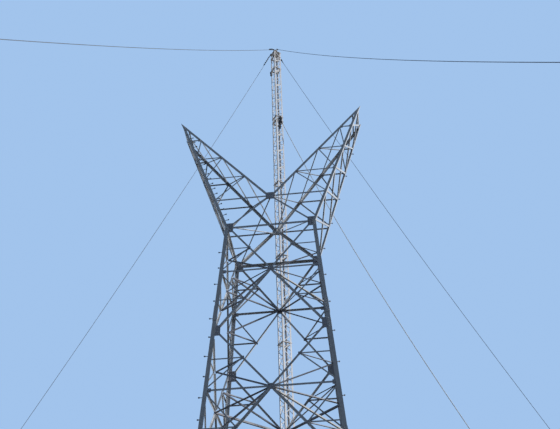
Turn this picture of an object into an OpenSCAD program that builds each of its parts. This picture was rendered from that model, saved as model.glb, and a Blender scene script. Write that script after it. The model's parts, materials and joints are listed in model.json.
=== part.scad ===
// Slender guyed lattice mast with a forked lattice tower close in front of it, in angle steel.
// Millimetres. The origin is on the underside of the mast's base plate, on the mast's axis.
// X runs along the tower's arms, Y from the tower towards the mast, Z up.

/* [Tower body] */
// Distance from the mast's axis to the tower's axis
tower_gap = 3300; // [3200:20:3800]
// Width of the tower across its front, at the waist
waist_w = 3500; // [3100:20:3900]
// Depth of the tower from front to rear, at the waist
waist_d = 2650; // [2300:10:3000]
// Side of the square on which the four legs stand
base_w = 5660; // [5200:20:6200]
// Distance of the bracing's joints from the legs' outer corners
joint_in = 150; // [130:5:170]
// Height of the waist above the ground
waist_z = 18400; // [17400:50:19400]
// Height of the leg joints between the upper and the lower crossed panel
joint_z = 13620; // [13100:20:14100]
// Height of the girts under the lower crossed panel
girt_z = 8770; // [8200:10:9300]
// Height above the ground at which the base braces leave the legs
brace_foot_z = 450; // [350:10:700]

/* [Tower arms] */
// Rise of the arm tips above the waist
arm_rise = 6990; // [6400:10:7600]
// Distance of the arm tips from the tower's middle
arm_reach = 4120; // [3700:20:4500]
// Depth of the arms from front to rear, at their tips
tip_d = 1200; // [1000:10:1500]
// Rise of the crotch between the arms above the waist
crotch_rise = 1570; // [1300:10:1800]
// Height of the plates that close the arm tips
tip_plate_h = 420; // [360:10:500]

/* [Tower steel] */
// Flange width of the leg angles
leg_size = 140; // [125:5:170]
// Thickness of the leg angles
leg_t = 12; // [8:1:16]
// Flange width of the arm chord angles
chord_size = 100; // [85:5:120]
// Thickness of the arm chord angles
chord_t = 10; // [8:1:14]
// Flange width of the waist bars
waist_bar = 95; // [70:5:110]
// Flange width of the main diagonals
diagonal_size = 70; // [55:5:85]
// Flange width of the crotch braces at the rear
rear_brace = 105; // [80:5:115]
// How far the rear crotch bar lies below the middle of the rear crotch plate
rear_bar_drop = 100; // [0:10:140]
// Flange width of the girts, the front crotch bar and the arms' outer bracing
girt_size = 65; // [50:5:75]
// Flange width of the light stays, the crotch ties and the rest of the arm bracing
stay_size = 45; // [35:5:55]
// Thickness of the bracing angles and of the joint plates
brace_t = 8; // [6:1:10]
// Side of the joint plates where diagonals cross
cross_plate = 200; // [160:10:280]
// Size from which all joint plates on legs and chords are drawn
joint_plate = 200; // [170:10:240]
// Width of the crotch plates
crotch_plate = 340; // [300:10:440]
// Height of the crotch plates
crotch_plate_h = 360; // [320:10:480]
// Side of the legs' base plates
foot_plate = 520; // [420:10:640]
// Thickness of the legs' base plates
foot_plate_t = 30; // [20:1:45]

/* [Mast] */
// Width of the mast over its chords
mast_w = 410; // [360:5:440]
// Angle by which the mast's faces are turned from the tower's
mast_turn = 36; // [33:1:50]
// Height of the foot section
foot_h = 2370; // [2000:10:2700]
// Height of each of the seven sections
section_h = 4450; // [4100:10:4600]
// Height of the lattice of the head section
head_h = 1500; // [1200:10:1700]
// Flange width of the mast's chord angles
post_size = 60; // [50:1:75]
// Thickness of the mast's chord angles
post_t = 7; // [5:1:10]
// Width of the lacing bars
lace_size = 32; // [24:1:40]
// Thickness of the lacing bars
lace_t = 5; // [4:1:8]
// Height that one lacing bar climbs, as nearly as whole bars allow
lace_pitch = 340; // [300:10:400]
// How far the joint frames stand out past the chords
frame_lip = 22; // [12:1:40]
// Thickness of each joint frame
frame_t = 14; // [8:1:20]
// Side of the mast's base plate
mast_plate = 640; // [560:10:760]
// Thickness of the mast's base plate
mast_plate_t = 35; // [20:1:50]
// Thickness of the cap plate
cap_t = 20; // [14:1:30]
// Diameter of the head post
head_post_d = 114; // [90:1:140]
// Height of the head post above the cap plate
head_post_h = 330; // [280:5:400]

/* [Guys] */
// Diameter of the guy ropes
guy_d = 24; // [16:1:30]
// Diameter of the doubled length at each guy's upper end
guy_grip_d = 60; // [46:1:70]
// Sag of each guy at its middle, square to the line between its eyes
guy_sag = 500; // [100:10:900]
// Diameter of the tackle line
line_d = 36; // [24:1:40]
// Sag of the tackle line at its middle
line_sag = 930; // [300:10:1200]
// Diameter of the pins in the eyes
pin_d = 24; // [18:1:30]
// Play of each pin in its hole, and of each fork beside its eye plate
pin_play = 0.4; // [0.2:0.1:0.5]
// Thickness of the eye plates
eye_t = 25; // [16:1:32]
// Radius of the eye plates around their pins
eye_r = 45; // [38:1:55]
// Length of each fork from its pin to its far end
fork_l = 120; // [110:1:150]
// Length of the turnbuckles over their screws
turnbuckle_l = 760; // [660:10:900]
// Distance of the front left anchor from the mast
front_left_run = 31000; // [29000:100:32500]
// Bearing of the front left guy, from the X axis
front_left_bearing = 251; // [246:1:256]
// Distance of the front right anchor from the mast
front_right_run = 28000; // [26000:100:30000]
// Bearing of the front right guy
front_right_bearing = 296; // [291:1:301]
// Distance of the rear left anchor from the mast
rear_left_run = 20500; // [19000:100:21500]
// Bearing of the rear left guy
rear_left_bearing = 168.5; // [163:0.5:173]
// Distance of the rear right anchor from the mast
rear_right_run = 18500; // [17000:100:19000]
// Bearing of the rear right guy
rear_right_bearing = 19.5; // [15:0.5:25]
// Distance of the tackle line's anchor from the mast's front corner
tackle_run = 14500; // [13000:100:15500]
// Bearing of the tackle line
tackle_bearing = 17.5; // [12:0.5:22]
// Height of the anchor eyes above the ground
anchor_eye_z = 260; // [200:5:320]
// Length of the anchors' base plates
anchor_l = 700; // [560:10:800]
// Width of the anchors' base plates
anchor_w = 420; // [360:10:500]
// Diameter of the tackle's sheave
sheave_d = 140; // [110:5:180]
// Angle from the plumb line at which the tackle hangs
tackle_hang = 6; // [0:1:12]

/* [Hidden] */
$fn = 32;
far = 60000;

// Lean of the body's faces: how far they come in for each millimetre of height
front_lean = (base_w - waist_d) / 2 / waist_z;
side_lean = (base_w - waist_w) / 2 / waist_z;
arm_lean = (waist_d - tip_d) / 2 / arm_rise;

// A body face is given by its half width at the waist, its flare and its own lean
FRONT = [waist_w / 2, side_lean, front_lean];
SIDE = [waist_d / 2, front_lean, side_lean];

// Height of the waist bars' middle
waist_clear = 5;
waist_bar_z = waist_z - waist_bar / 2 - waist_clear;

// How far bracing stays back from a corner: its flat flanges and its standing flanges
end_gap = 40;
flange_clear = 25;
stand_gap = waist_bar + leg_t + flange_clear;
chord_stand_gap = girt_size + chord_t + flange_clear;

// Outlines of the joint plates
girt_joint = joint_plate * [0.9, 0.7];
base_joint = joint_plate * [1.2, 1.2];
leg_joint = joint_plate * [1.5, 2];
waist_joint = joint_plate * [1.6, 1.5];
arm_joint = joint_plate * [1.3, 0.8];
crotch_joint = joint_plate * [1.6, 1.9];
girt_lap = 60;

// Points and plane drawing: edge is on a leg's outer corner, on is at its joints
function slant(lean) = norm([1, lean]);
function half(face, z) = face[0] + face[1] * (waist_z - z);
function reach(face, z) = half(face, z) - joint_in;
function edge(face, s, z) = [s * half(face, z), z * slant(face[2])];
function on(face, s, z) = [s * reach(face, z), z * slant(face[2])];
function cross_z(face, top, low) =
    top - (top - low) * reach(face, top) / (reach(face, top) + reach(face, low));
function unit(v) = v / norm(v);
function side_of(v) = [-v[1], v[0]];

// Strip from a to b, between two distances to the left of that line
module strip(a, b, from, to) {
    n = side_of(unit(b - a));
    polygon([a + n * from, b + n * from, b + n * to, a + n * to]);
}
module plate(at, size) translate(at) square(size, center = true);

// Layer of a face, in a frame whose Z axis points outwards
module layer(depth, t) translate([0, 0, -depth - t]) linear_extrude(t) children();

// Flat lattice of angles [a, b, size]: flat flanges and joint plates in one layer, and
// standing flanges inwards, which stop short of the plates. Children: flat outline,
// standing outline, joint plates.
module lattice(bars, sizes, depth) {
    layer(depth, brace_t) intersection() {
        union() {
            for (m = bars) strip(m[0], m[1], -m[2] / 2, m[2] / 2);
            children(2);
        }
        children(0);
    }
    for (size = sizes) layer(depth, size) difference() {
        intersection() {
            union() for (m = bars) if (m[2] == size)
                strip(m[0], m[1], -size / 2, brace_t - size / 2);
            children(1);
        }
        children(2);
    }
}

// L-shaped bar from p to q; up is roughly the way its standing flange points
module angle_bar(p, q, size, up) {
    z = unit(q - p);
    x = unit(cross(up, z));
    y = cross(z, x);
    multmatrix([[x[0], y[0], z[0], p[0]], [x[1], y[1], z[1], p[1]],
            [x[2], y[2], z[2], p[2]], [0, 0, 0, 1]])
        linear_extrude(norm(q - p)) translate([-size / 2, -size / 2]) polygon([[0, 0],
            [size, 0], [size, brace_t], [brace_t, brace_t], [brace_t, size], [0, size]]);
}

// Frames of the tower, in its own place and in the plane of a face
module tower() translate([0, -tower_gap, 0]) children();
module on_body(face, turn) {
    s = slant(face[2]);
    rotate(turn) multmatrix([[1, 0, 0, 0], [0, face[2] / s, -1 / s, -base_w / 2],
            [0, 1 / s, face[2] / s, 0], [0, 0, 0, 1]]) children();
}
module on_arm_front() {
    s = slant(arm_lean);
    multmatrix([[1, 0, 0, 0], [0, arm_lean / s, -1 / s, -waist_d / 2],
            [0, 1 / s, arm_lean / s, waist_z], [0, 0, 0, 1]]) children();
}

// Legs
module leg() intersection() {
    union() {
        on_body(FRONT, 0) layer(0, leg_t)
            strip(edge(FRONT, -1, foot_plate_t / 2), edge(FRONT, -1, waist_z + leg_size),
                -leg_size, 0);
        on_body(SIDE, -90) layer(0, leg_t)
            strip(edge(SIDE, 1, foot_plate_t / 2), edge(SIDE, 1, waist_z + leg_size),
                0, leg_size);
        translate([(leg_size - base_w) / 2, (leg_size - base_w) / 2, foot_plate_t / 2])
            cube([foot_plate, foot_plate, foot_plate_t], center = true);
    }
    translate([-far / 2, -far / 2, 0]) cube([far, far, waist_z]);
}

// Bar from a to b, which lies on the side s: its standing flange is along its upper edge
function outward(s, a, b, size) = s < 0 ? [a, b, size] : [b, a, size];

// Crossed panel between two heights: diagonals, girt through the crossing, light stays. The
// lower halves of the diagonals have their standing flanges along their lower edges.
function panel(face, top, low) =
    let (mid = cross_z(face, top, low), c = on(face, 0, mid)) concat(
    [for (s = [-1, 1]) each [outward(s, c, on(face, s, top), diagonal_size),
        outward(-s, c, on(face, s, low), diagonal_size)]],
    [[edge(face, 1, mid), edge(face, -1, mid), girt_size]],
    [for (s = [-1, 1]) for (end = [top, low]) let (k = (on(face, s, end) + c) / 2)
        each [outward(s, k, edge(face, s, (end + mid) / 2), stay_size),
            outward(s, k, edge(face, s, mid), stay_size)]]);

module panel_plates(face, top, low) {
    mid = cross_z(face, top, low);
    plate(on(face, 0, mid), cross_plate);
    for (s = [-1, 1]) {
        plate(on(face, s, mid), girt_joint);
        for (end = [top, low])
            plate((on(face, s, end) + on(face, 0, mid)) / 2, cross_plate / 2);
    }
}

// Outline of a body face, held back from its corners
module body_window(face, low, top, gap) polygon([
    edge(face, -1, low) + [gap, 0], edge(face, 1, low) - [gap, 0],
    edge(face, 1, top) - [gap, 0], edge(face, -1, top) + [gap, 0]]);

module body_face(face, turn) on_body(face, turn) {
    drop = girt_size + girt_lap;
    bars = concat(panel(face, waist_bar_z, joint_z), panel(face, joint_z, girt_z),
        [[edge(face, 1, waist_bar_z), edge(face, -1, waist_bar_z), waist_bar],
            [edge(face, 1, girt_z), edge(face, -1, girt_z), diagonal_size]]);
    lattice(bars, [waist_bar, diagonal_size, girt_size, stay_size], leg_t) {
        body_window(face, girt_z - drop, waist_z - waist_clear, end_gap);
        body_window(face, girt_z - drop, waist_z - waist_clear, stand_gap);
        union() {
            panel_plates(face, waist_bar_z, joint_z);
            panel_plates(face, joint_z, girt_z);
            plate(on(face, 0, girt_z), [girt_joint[0], 2 * drop]);
            for (s = [-1, 1]) {
                plate(on(face, s, waist_bar_z - joint_plate / 3), waist_joint);
                plate(on(face, s, joint_z), leg_joint);
                plate(on(face, s, girt_z), [leg_joint[0], 2 * drop]);
            }
        }
    }
}

// Base bracing around one leg: half of each of its two faces, and the ties across its corner
base_bays = 4;
module half_base(face, turn, s) on_body(face, turn) {
    run = girt_z - brace_foot_z;
    stay_drop = 80;
    foot_lap = 100;
    foot = on(face, s, brace_foot_z);
    top = on(face, 0, girt_z);
    ends = [for (i = [1:base_bays - 1]) foot + (top - foot) * i / base_bays];
    bars = concat([[foot, top, diagonal_size]],
        [for (i = [0:base_bays - 2]) outward(s, ends[i],
            edge(face, s, brace_foot_z + run * (i + 1) / base_bays), girt_size)],
        [for (i = [0:base_bays - 2]) outward(s, ends[i],
            edge(face, s, brace_foot_z + run * (i + 2) / base_bays - stay_drop), stay_size)]);
    low = brace_foot_z - foot_lap;
    lattice(bars, [diagonal_size, girt_size, stay_size], leg_t + brace_t) {
        base_window(face, s, low, end_gap);
        base_window(face, s, low, stand_gap);
        for (p = ends) plate(p, cross_plate / 2);
    }
    layer(leg_t, 2 * brace_t) intersection() {
        base_window(face, s, low, end_gap);
        union() for (i = [0:base_bays - 1])
            plate(on(face, s, brace_foot_z + run * i / base_bays), base_joint);
    }
}
module base_window(face, s, low, gap) {
    middle = 12;
    under_gap = 10;
    under = girt_z - girt_size / 2 - under_gap;
    in = [s * middle, 0];
    polygon([edge(face, s, low) - [s * gap, 0], edge(face, s, under) - [s * gap, 0],
        edge(face, 0, under) + in, edge(face, 0, low) + in]);
}
function base_node(i, x) = let (z = brace_foot_z + (girt_z - brace_foot_z) * i / base_bays,
    share = 1 - i / base_bays,
    foot = reach(FRONT, brace_foot_z), side = reach(SIDE, brace_foot_z))
    x ? [-foot * share, -half(SIDE, z), z] : [-half(FRONT, z), -side * share, z];

module base_bracing() {
    half_base(FRONT, 0, -1);
    half_base(SIDE, -90, 1);
    intersection() {
        union() for (i = [1:base_bays - 2])
            angle_bar(base_node(i, true), base_node(i, false), stay_size, [0, 0, 1]);
        inside_body(leg_t + brace_t + 1);
    }
}

// Space inside the body's four faces, at a depth below their planes
module inside_body(depth) intersection() {
    rotate([90, 0, 0]) linear_extrude(far, center = true) inside_outline(FRONT, SIDE, depth);
    rotate([90, 0, 90]) linear_extrude(far, center = true) inside_outline(SIDE, FRONT, depth);
}
module inside_outline(face, other, depth) {
    d = depth * slant(other[2]);
    low = half(face, 0) - d;
    top = half(face, waist_z) - d;
    polygon([[-low, 0], [low, 0], [top, waist_z], [-top, waist_z]]);
}

// Plan bracing: a diamond from the middle of each face to the middle of the next. Its
// standing flanges are on its inner side.
module diamond(front_z, side_z, size) {
    f = [0, -half(SIDE, front_z), front_z];
    s = [half(FRONT, side_z), 0, side_z];
    intersection() {
        for (mx = [0, 1]) mirror([mx, 0, 0]) for (my = [0, 1]) mirror([0, my, 0])
            angle_bar(s, f, size, [0, 0, 1]);
        inside_body(leg_t + brace_t);
    }
}

// Arm geometry, in heights above the waist
bays = 4;
function level(k) = k < 0 ? 0 : crotch_rise + k * (arm_rise - crotch_rise) / bays;
function outer_x(h) = waist_w / 2 + (arm_reach - waist_w / 2) * h / arm_rise;
function inner_x(h) = arm_reach * (h - crotch_rise) / (arm_rise - crotch_rise);
function arm_y(h) = waist_d / 2 - arm_lean * h;
function at(x, h) = [x, h * slant(arm_lean)];

// A side of an arm is given by the X and height of its low end, and by its run to the tip
OUTER = [waist_w / 2, 0, arm_reach - waist_w / 2, arm_rise, -1];
INNER = [0, crotch_rise, arm_reach, arm_rise - crotch_rise, 1];
module on_arm_side(side) {
    n = norm([side[2], side[3]]);
    u = side[2] / n;
    w = side[3] / n;
    flip = side[4] < 0 ? 1 : -1;
    multmatrix([[0, u, flip * w, side[0]], [flip, 0, 0, 0],
            [0, w, -flip * u, waist_z + side[1]], [0, 0, 0, 1]]) children();
}
function along(side, y, h) = [(side[4] < 0 ? 1 : -1) * y,
    (h - side[1]) * norm([side[2], side[3]]) / side[3]];

module above_waist() translate([0, -far / 2, waist_z]) cube([far, far, far]);

// Front outer and inner chord of the right arm, joined by the tip plate
module arm_chord_pair() intersection() {
    union() {
        on_arm_front() layer(0, chord_t) intersection() {
            tip = at(arm_reach, arm_rise);
            outer_low = at(outer_x(-chord_size), -chord_size);
            inner_low = at(inner_x(crotch_rise - chord_size), crotch_rise - chord_size);
            union() {
                strip(outer_low, tip, 0, chord_size);
                strip(inner_low, tip, -chord_size, 0);
                tip_plate();
            }
            polygon([outer_low, tip, inner_low]);
        }
        for (side = [OUTER, INNER]) on_arm_side(side) layer(0, chord_t)
            intersection() {
                side_edge(side, 0);
                side_edge_band(side);
            }
    }
    above_waist();
    translate([chord_t / 2, -far / 2, 0]) cube([far, far, far]);
}
module tip_plate() {
    h = arm_rise - tip_plate_h;
    polygon([at(arm_reach, arm_rise), at(outer_x(h), h), at(inner_x(h), h)]);
}
// Whole outline of an arm's side, and a band of chord width along its front edge
module side_edge(side, gap) {
    low = side[1] - chord_size;
    f = side[4] < 0 ? 1 : -1;
    in = [f * gap, 0];
    polygon([along(side, -arm_y(low), low) + in, along(side, arm_y(low), low) - in,
        along(side, arm_y(arm_rise), arm_rise) - in,
        along(side, -arm_y(arm_rise), arm_rise) + in]);
}
module side_edge_band(side) {
    low = side[1] - chord_size;
    a = along(side, -arm_y(low), low);
    b = along(side, -arm_y(arm_rise), arm_rise);
    if (side[4] < 0) strip(a, b, -chord_size, 0);
    else strip(a, b, 0, chord_size);
}
module arm_chords() {
    arm_chord_pair();
    mirror([0, 1, 0]) arm_chord_pair();
}

// Outline of an arm's front between its chords
module arm_window(low, gap) {
    spread = arm_reach / (arm_rise - crotch_rise) - (arm_reach - waist_w / 2) / arm_rise;
    tip_clear = 60;
    h1 = arm_rise - (2 * gap + tip_clear) / spread;
    polygon([at(inner_x(low) + gap, low), at(outer_x(low) - gap, low),
        at(outer_x(h1) - gap, h1), at(inner_x(h1) + gap, h1)]);
}
module arm_front_bracing() on_arm_front() {
    bars = concat(
        [for (k = [1:bays - 1]) [at(outer_x(level(k)), level(k)),
            at(inner_x(level(k)), level(k)), stay_size]],
        [for (k = [0:bays - 2]) [at(outer_x(level(k)), level(k)),
            at(inner_x(level(k + 1)), level(k + 1)), stay_size]]);
    low = crotch_rise + girt_size;
    lattice(bars, [stay_size], chord_t) {
        arm_window(low, end_gap);
        arm_window(low, chord_stand_gap);
        for (k = [1:bays - 1]) {
            plate(at(inner_x(level(k)), level(k)), arm_joint);
            plate(at(outer_x(level(k)), level(k)), arm_joint);
        }
    }
}
// Crossed bracing on the outer and the inner side of an arm
module arm_side_bracing() for (side = [OUTER, INNER]) {
    first = side[4] < 0 ? -1 : 0;
    outer_drop = 240;
    inner_clear = 100;
    foot_clear = 30;
    size = side[4] < 0 ? girt_size : stay_size;
    on_arm_side(side) {
        top = arm_rise - (side[4] < 0 ? outer_drop : tip_plate_h + inner_clear);
        strut = top - size / 2;
        bars = concat([for (k = [first:bays - 1]) for (s = [-1, 1])
                [along(side, -s * arm_y(level(k)), level(k)),
                along(side, s * arm_y(level(k + 1)), level(k + 1)), size]],
            [[along(side, -arm_y(strut), strut), along(side, arm_y(strut), strut), size]]);
        lattice(bars, [size], chord_t) {
            side_window(side, level(first) + foot_clear, top, end_gap);
            side_window(side, level(first) + foot_clear, top, chord_stand_gap);
            union() for (k = [first + 1:bays - 1]) for (s = [-1, 1])
                plate(along(side, s * arm_y(level(k)), level(k)), arm_joint);
        }
    }
}
module side_window(side, low, top, gap) polygon([
    along(side, gap - arm_y(low), low), along(side, arm_y(low) - gap, low),
    along(side, arm_y(top) - gap, top), along(side, gap - arm_y(top), top)]);

// Frame between the waist and the crotch, in the plane of the arms' front: two braces, and a
// bar that crosses the crotch plate at a distance below its middle
module crotch_frame(brace, bar, drop) on_arm_front() {
    corner_x = waist_w / 2 - joint_in;
    bar_h = crotch_rise - drop;
    bars = concat([for (s = [-1, 1]) outward(s, at(0, crotch_rise), at(s * corner_x, 0),
            brace)],
        [[at(outer_x(bar_h), bar_h), at(-outer_x(bar_h), bar_h), bar]]);
    lattice(bars, [brace, bar], chord_t) {
        crotch_window(end_gap);
        crotch_window(chord_stand_gap);
        union() {
            plate(at(0, crotch_rise), [crotch_plate, crotch_plate_h]);
            for (s = [-1, 1]) {
                plate(at(s * corner_x, 0), crotch_joint);
                plate(at(s * outer_x(bar_h), bar_h), [joint_plate, bar]);
            }
        }
    }
    layer(-brace_t, brace_t) plate(at(0, crotch_rise), [crotch_plate, crotch_plate_h]);
}
crotch_clear = 8;
module crotch_window(gap) {
    low = crotch_clear;
    top = crotch_rise + girt_size / 2;
    run = norm([arm_reach, arm_rise - crotch_rise]);
    side = inner_x(top) + gap * run / (arm_rise - crotch_rise);
    polygon([at(gap - outer_x(low), low), at(outer_x(low) - gap, low),
        at(outer_x(top) - gap, top), at(side, top),
        at(0, crotch_rise - gap * run / arm_reach), at(-side, top),
        at(gap - outer_x(top), top)]);
}
// Ties from the waist's corners to the crotch plates of the opposite face. The rear right
// corner has none.
module crotch_ties() tower_steel() intersection() {
    meet = crotch_rise - crotch_plate_h / 3;
    ends = [[waist_w / 2 - joint_in, -waist_d / 2, waist_z], [0, arm_y(meet), waist_z + meet]];
    for (m = [[0, 0], [1, 0], [1, 1]]) mirror([m[0], 0, 0]) mirror([0, m[1], 0])
        angle_bar(ends[m[1]], ends[1 - m[1]], stay_size, [0, 0, 1]);
    inside_arms(chord_t + brace_t);
}
module inside_arms(depth) intersection() {
    low = waist_z + crotch_clear;
    rotate([90, 0, 90]) linear_extrude(far, center = true) {
        d = depth * slant(arm_lean);
        polygon([[d - arm_y(0), low], [arm_y(0) - d, low],
            [arm_y(arm_rise) - d, waist_z + arm_rise], [d - arm_y(arm_rise), waist_z + arm_rise]]);
    }
    rotate([90, 0, 0]) linear_extrude(far, center = true) {
        d = depth * slant((arm_reach - waist_w / 2) / arm_rise);
        polygon([[d - outer_x(0), low], [outer_x(0) - d, low],
            [outer_x(arm_rise) - d, waist_z + arm_rise],
            [d - outer_x(arm_rise), waist_z + arm_rise]]);
    }
}

// Mast
sections = 7;
head_z = foot_h + sections * section_h;
module mast_face(turn, z) rotate(mast_turn + turn) translate([0, -mast_w / 2, z])
    rotate([90, 0, 0]) children();
// Lattice of one mast section: chords on the outside, zigzag lacing inside them
module mast_lattice(z, h) for (turn = [0:90:270]) mast_face(turn, z) {
    laces = round((h - 2 * frame_t) / lace_pitch);
    rise = (h - 2 * frame_t) / laces;
    lane = (mast_w - post_size) / 2;
    lace_clear = 3;
    layer(0, post_t) for (s = [-1, 1])
        translate([s * lane, h / 2]) square([post_size, h], center = true);
    layer(post_t, lace_t) intersection() {
        for (i = [0:laces - 1]) {
            s = i % 2 == 0 ? 1 : -1;
            strip([-s * lane, frame_t + i * rise], [s * lane, frame_t + (i + 1) * rise],
                -lace_size / 2, lace_size / 2);
        }
        translate([0, h / 2])
            square([mast_w - 2 * (post_t + lace_t + lace_clear), h], center = true);
    }
}
module mast_frame(z, t) rotate(mast_turn) translate([0, 0, z]) linear_extrude(t)
    difference() {
        square(mast_w + 2 * frame_lip, center = true);
        square(mast_w - 2 * post_size, center = true);
    }
module mast_section(i) mast_steel() {
    z = foot_h + (i - 1) * section_h;
    mast_lattice(z, section_h);
    mast_frame(z, frame_t);
    mast_frame(z + section_h - frame_t, frame_t);
    if (i == tackle_section) {
        mast_frame(tackle_eye[1] + tackle_frame_rise - frame_t / 2, frame_t);
        translate(tackle_root) eye_arm(tackle_bearing, tackle_eye, 0);
    }
}
module mast_foot() mast_steel() {
    mast_lattice(mast_plate_t, foot_h - mast_plate_t);
    mast_frame(foot_h - frame_t, frame_t);
    mast_frame(mast_plate_t, frame_t);
    rotate(mast_turn) translate([0, 0, mast_plate_t / 2])
        cube([mast_plate, mast_plate, mast_plate_t], center = true);
}

// Rope ends on the mast: each is a distance outwards and a height. The tackle's eye is
// measured from a point within the mast's front corner, the others from its axis.
cap_z = head_z + head_h;
corner = mast_w / sqrt(2);
top_eye_in = 10;
top_eye_rise = 100;
top_eye = [corner - top_eye_in, cap_z + cap_t + top_eye_rise];
low_eye_out = 25;
low_eye_drop = 420;
low_eye = [corner + low_eye_out, cap_z - low_eye_drop];
tackle_section = 7;
tackle_sunk = 15;
tackle_out = 215;
tackle_rise = 280;
tackle_frame_rise = 50;
tackle_root = (corner - tackle_sunk) * [cos(mast_turn - 135), sin(mast_turn - 135), 0];
tackle_eye = [tackle_out, foot_h + (tackle_section - 1) * section_h + tackle_rise];
function spot(bearing, r_z) = [r_z[0] * cos(bearing), r_z[0] * sin(bearing), r_z[1]];
function anchor_at(bearing, run) = spot(bearing, [run, anchor_eye_z]);

// Outline of an eye plate that narrows from its root, low to high, to its eye
module eye_outline(eye, low, high) {
    translate(eye) circle(eye_r);
    n = side_of(unit(eye - (low + high) / 2)) * eye_r;
    polygon([low, eye - n, eye + n, high]);
}
module pin_hole() cylinder(h = 3 * eye_t, d = pin_d + 2 * pin_play, center = true);
// Eye plate on the mast, standing in the plane of its guy
module eye_arm(bearing, eye, root) difference() {
    root_h = 70;
    rotate([90, 0, bearing]) linear_extrude(eye_t, center = true)
        eye_outline(eye, [root, eye[1] - root_h], [root, eye[1] + root_h]);
    translate(spot(bearing, eye)) rotate([90, 0, bearing]) pin_hole();
}
module mast_head() mast_steel() {
    flange_t = 24;
    flange_lip = 20;
    lug_in = 10;
    lug_h = 60;
    mast_lattice(head_z, head_h);
    mast_frame(head_z, frame_t);
    mast_frame(low_eye[1] - frame_t / 2, frame_t);
    rotate(mast_turn) translate([0, 0, cap_z + cap_t / 2])
        cube([mast_w + 2 * frame_lip, mast_w + 2 * frame_lip, cap_t], center = true);
    translate([0, 0, cap_z]) cylinder(h = cap_t + head_post_h, d = head_post_d);
    translate([0, 0, cap_z + cap_t + head_post_h - flange_t / 2])
        cylinder(h = flange_t, d = head_post_d + 2 * flange_lip);
    for (b = [front_left_bearing, front_right_bearing, rear_left_bearing]) difference() {
        rotate([90, 0, b]) linear_extrude(eye_t, center = true) {
            eye_outline(top_eye, [lug_in, cap_z + cap_t / 2], [lug_in, top_eye[1] + lug_h]);
            translate([lug_in, cap_z + cap_t / 2]) square([mast_w / 2, lug_h]);
        }
        translate(spot(b, top_eye)) rotate([90, 0, b]) pin_hole();
    }
    eye_arm(rear_right_bearing, low_eye, mast_w / 4);
}

// Frame along a rope: Z runs from p to q, X lies level
module between(p, q) {
    z = unit(q - p);
    x = unit(cross([0, 0, 1], z));
    y = cross(z, x);
    multmatrix([[x[0], y[0], z[0], p[0]], [x[1], y[1], z[1], p[1]],
        [x[2], y[2], z[2], p[2]], [0, 0, 0, 1]]) children();
}
// Fork over an eye plate, with its pin
fork_block = 40;
module fork() {
    cheek = 12;
    fork_w = 60;
    toe = 30;
    pin_end = 15;
    inner = eye_t / 2 + pin_play;
    outer = inner + cheek;
    rotate([90, 0, 0]) linear_extrude(fork_w, center = true) polygon([
        [-outer, -toe], [-inner, -toe], [-inner, fork_l - fork_block],
        [inner, fork_l - fork_block], [inner, -toe], [outer, -toe],
        [outer, fork_l], [-outer, fork_l]]);
    rotate([0, 90, 0]) cylinder(h = 2 * (outer + pin_end), d = pin_d, center = true);
}
// Turnbuckle from z = 0: an open body between two heads, with a screw out of each
module turnbuckle() {
    screw_d = 30;
    screw_out = 60;
    screw_in = 100;
    head_l = 60;
    head_d = 84;
    rod_d = 18;
    rod_off = 32;
    lap = 20;
    for (turn = [0, 1]) translate([0, 0, turn * turnbuckle_l]) mirror([0, 0, turn]) {
        translate([0, 0, -lap]) cylinder(h = lap + screw_out + head_l + screw_in, d = screw_d);
        translate([0, 0, screw_out]) cylinder(h = head_l, d = head_d);
    }
    for (s = [-1, 1]) translate([s * rod_off, 0, screw_out + head_l / 2])
        cylinder(h = turnbuckle_l - 2 * screw_out - head_l, d = rod_d);
}
// A rope is straight for end_l at each end and a shallow arc between. Its ends slope below
// the line between its eyes by the angle dip.
end_l = fork_l + turnbuckle_l;
socket_l = 90;
socket_lip = 9;
socket_lap = 10;
rope_steps = 24;
function dip(l, sag) = 2 * atan(sag / (l / 2 + end_l));
module upper_end(grip_d) {
    fork();
    translate([0, 0, fork_l - socket_lap])
        cylinder(h = turnbuckle_l + socket_lap + socket_l, d = grip_d);
}
module lower_end(d) {
    fork();
    translate([0, 0, fork_l]) turnbuckle();
    translate([0, 0, end_l - socket_lap])
        cylinder(h = socket_lap + socket_l, d = d + 2 * socket_lip);
}
// Rope from the eye p down to the eye q
module stay_rope(p, q, d, grip_d, sag) {
    l = norm(q - p);
    a = dip(l, sag);
    r = (l / 2 - end_l * cos(a)) / sin(a);
    between(p, q) {
        rotate([a, 0, 0]) upper_end(grip_d);
        translate([0, 0, l]) mirror([0, 0, 1]) rotate([a, 0, 0]) lower_end(d);
        multmatrix([[0, 0, -1, 0], [-1, 0, 0, r * cos(a) - end_l * sin(a)], [0, 1, 0, l / 2],
                [0, 0, 0, 1]])
            rotate(-a) rotate_extrude(angle = 2 * a, $fn = rope_steps * 180 / a)
                translate([r, 0]) circle(d = d, $fn = 16);
    }
}
module guy(bearing, run, eye) rope_steel()
    stay_rope(spot(bearing, eye), anchor_at(bearing, run), guy_d, guy_grip_d, guy_sag);

// Anchors: a base plate with a standing eye plate and two webs
module anchor(bearing, run) anchor_steel() {
    base_t = 25;
    toe = 60;
    web_t = 16;
    web_w = 280;
    web_h = 90;
    sunk = 5;
    root = anchor_l / 2 - toe;
    rotate(bearing) translate([run, 0, 0]) difference() {
        union() {
            translate([0, 0, base_t / 2]) cube([anchor_l, anchor_w, base_t], center = true);
            rotate([90, 0, 0]) linear_extrude(eye_t, center = true)
                eye_outline([0, anchor_eye_z], [root, base_t / 2], [-root, base_t / 2]);
            for (s = [-1, 1]) translate([s * anchor_l / 4, 0, base_t - sunk + web_h / 2])
                cube([web_t, web_w, web_h], center = true);
        }
        translate([0, 0, anchor_eye_z]) rotate([90, 0, 0]) pin_hole();
    }
}

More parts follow.
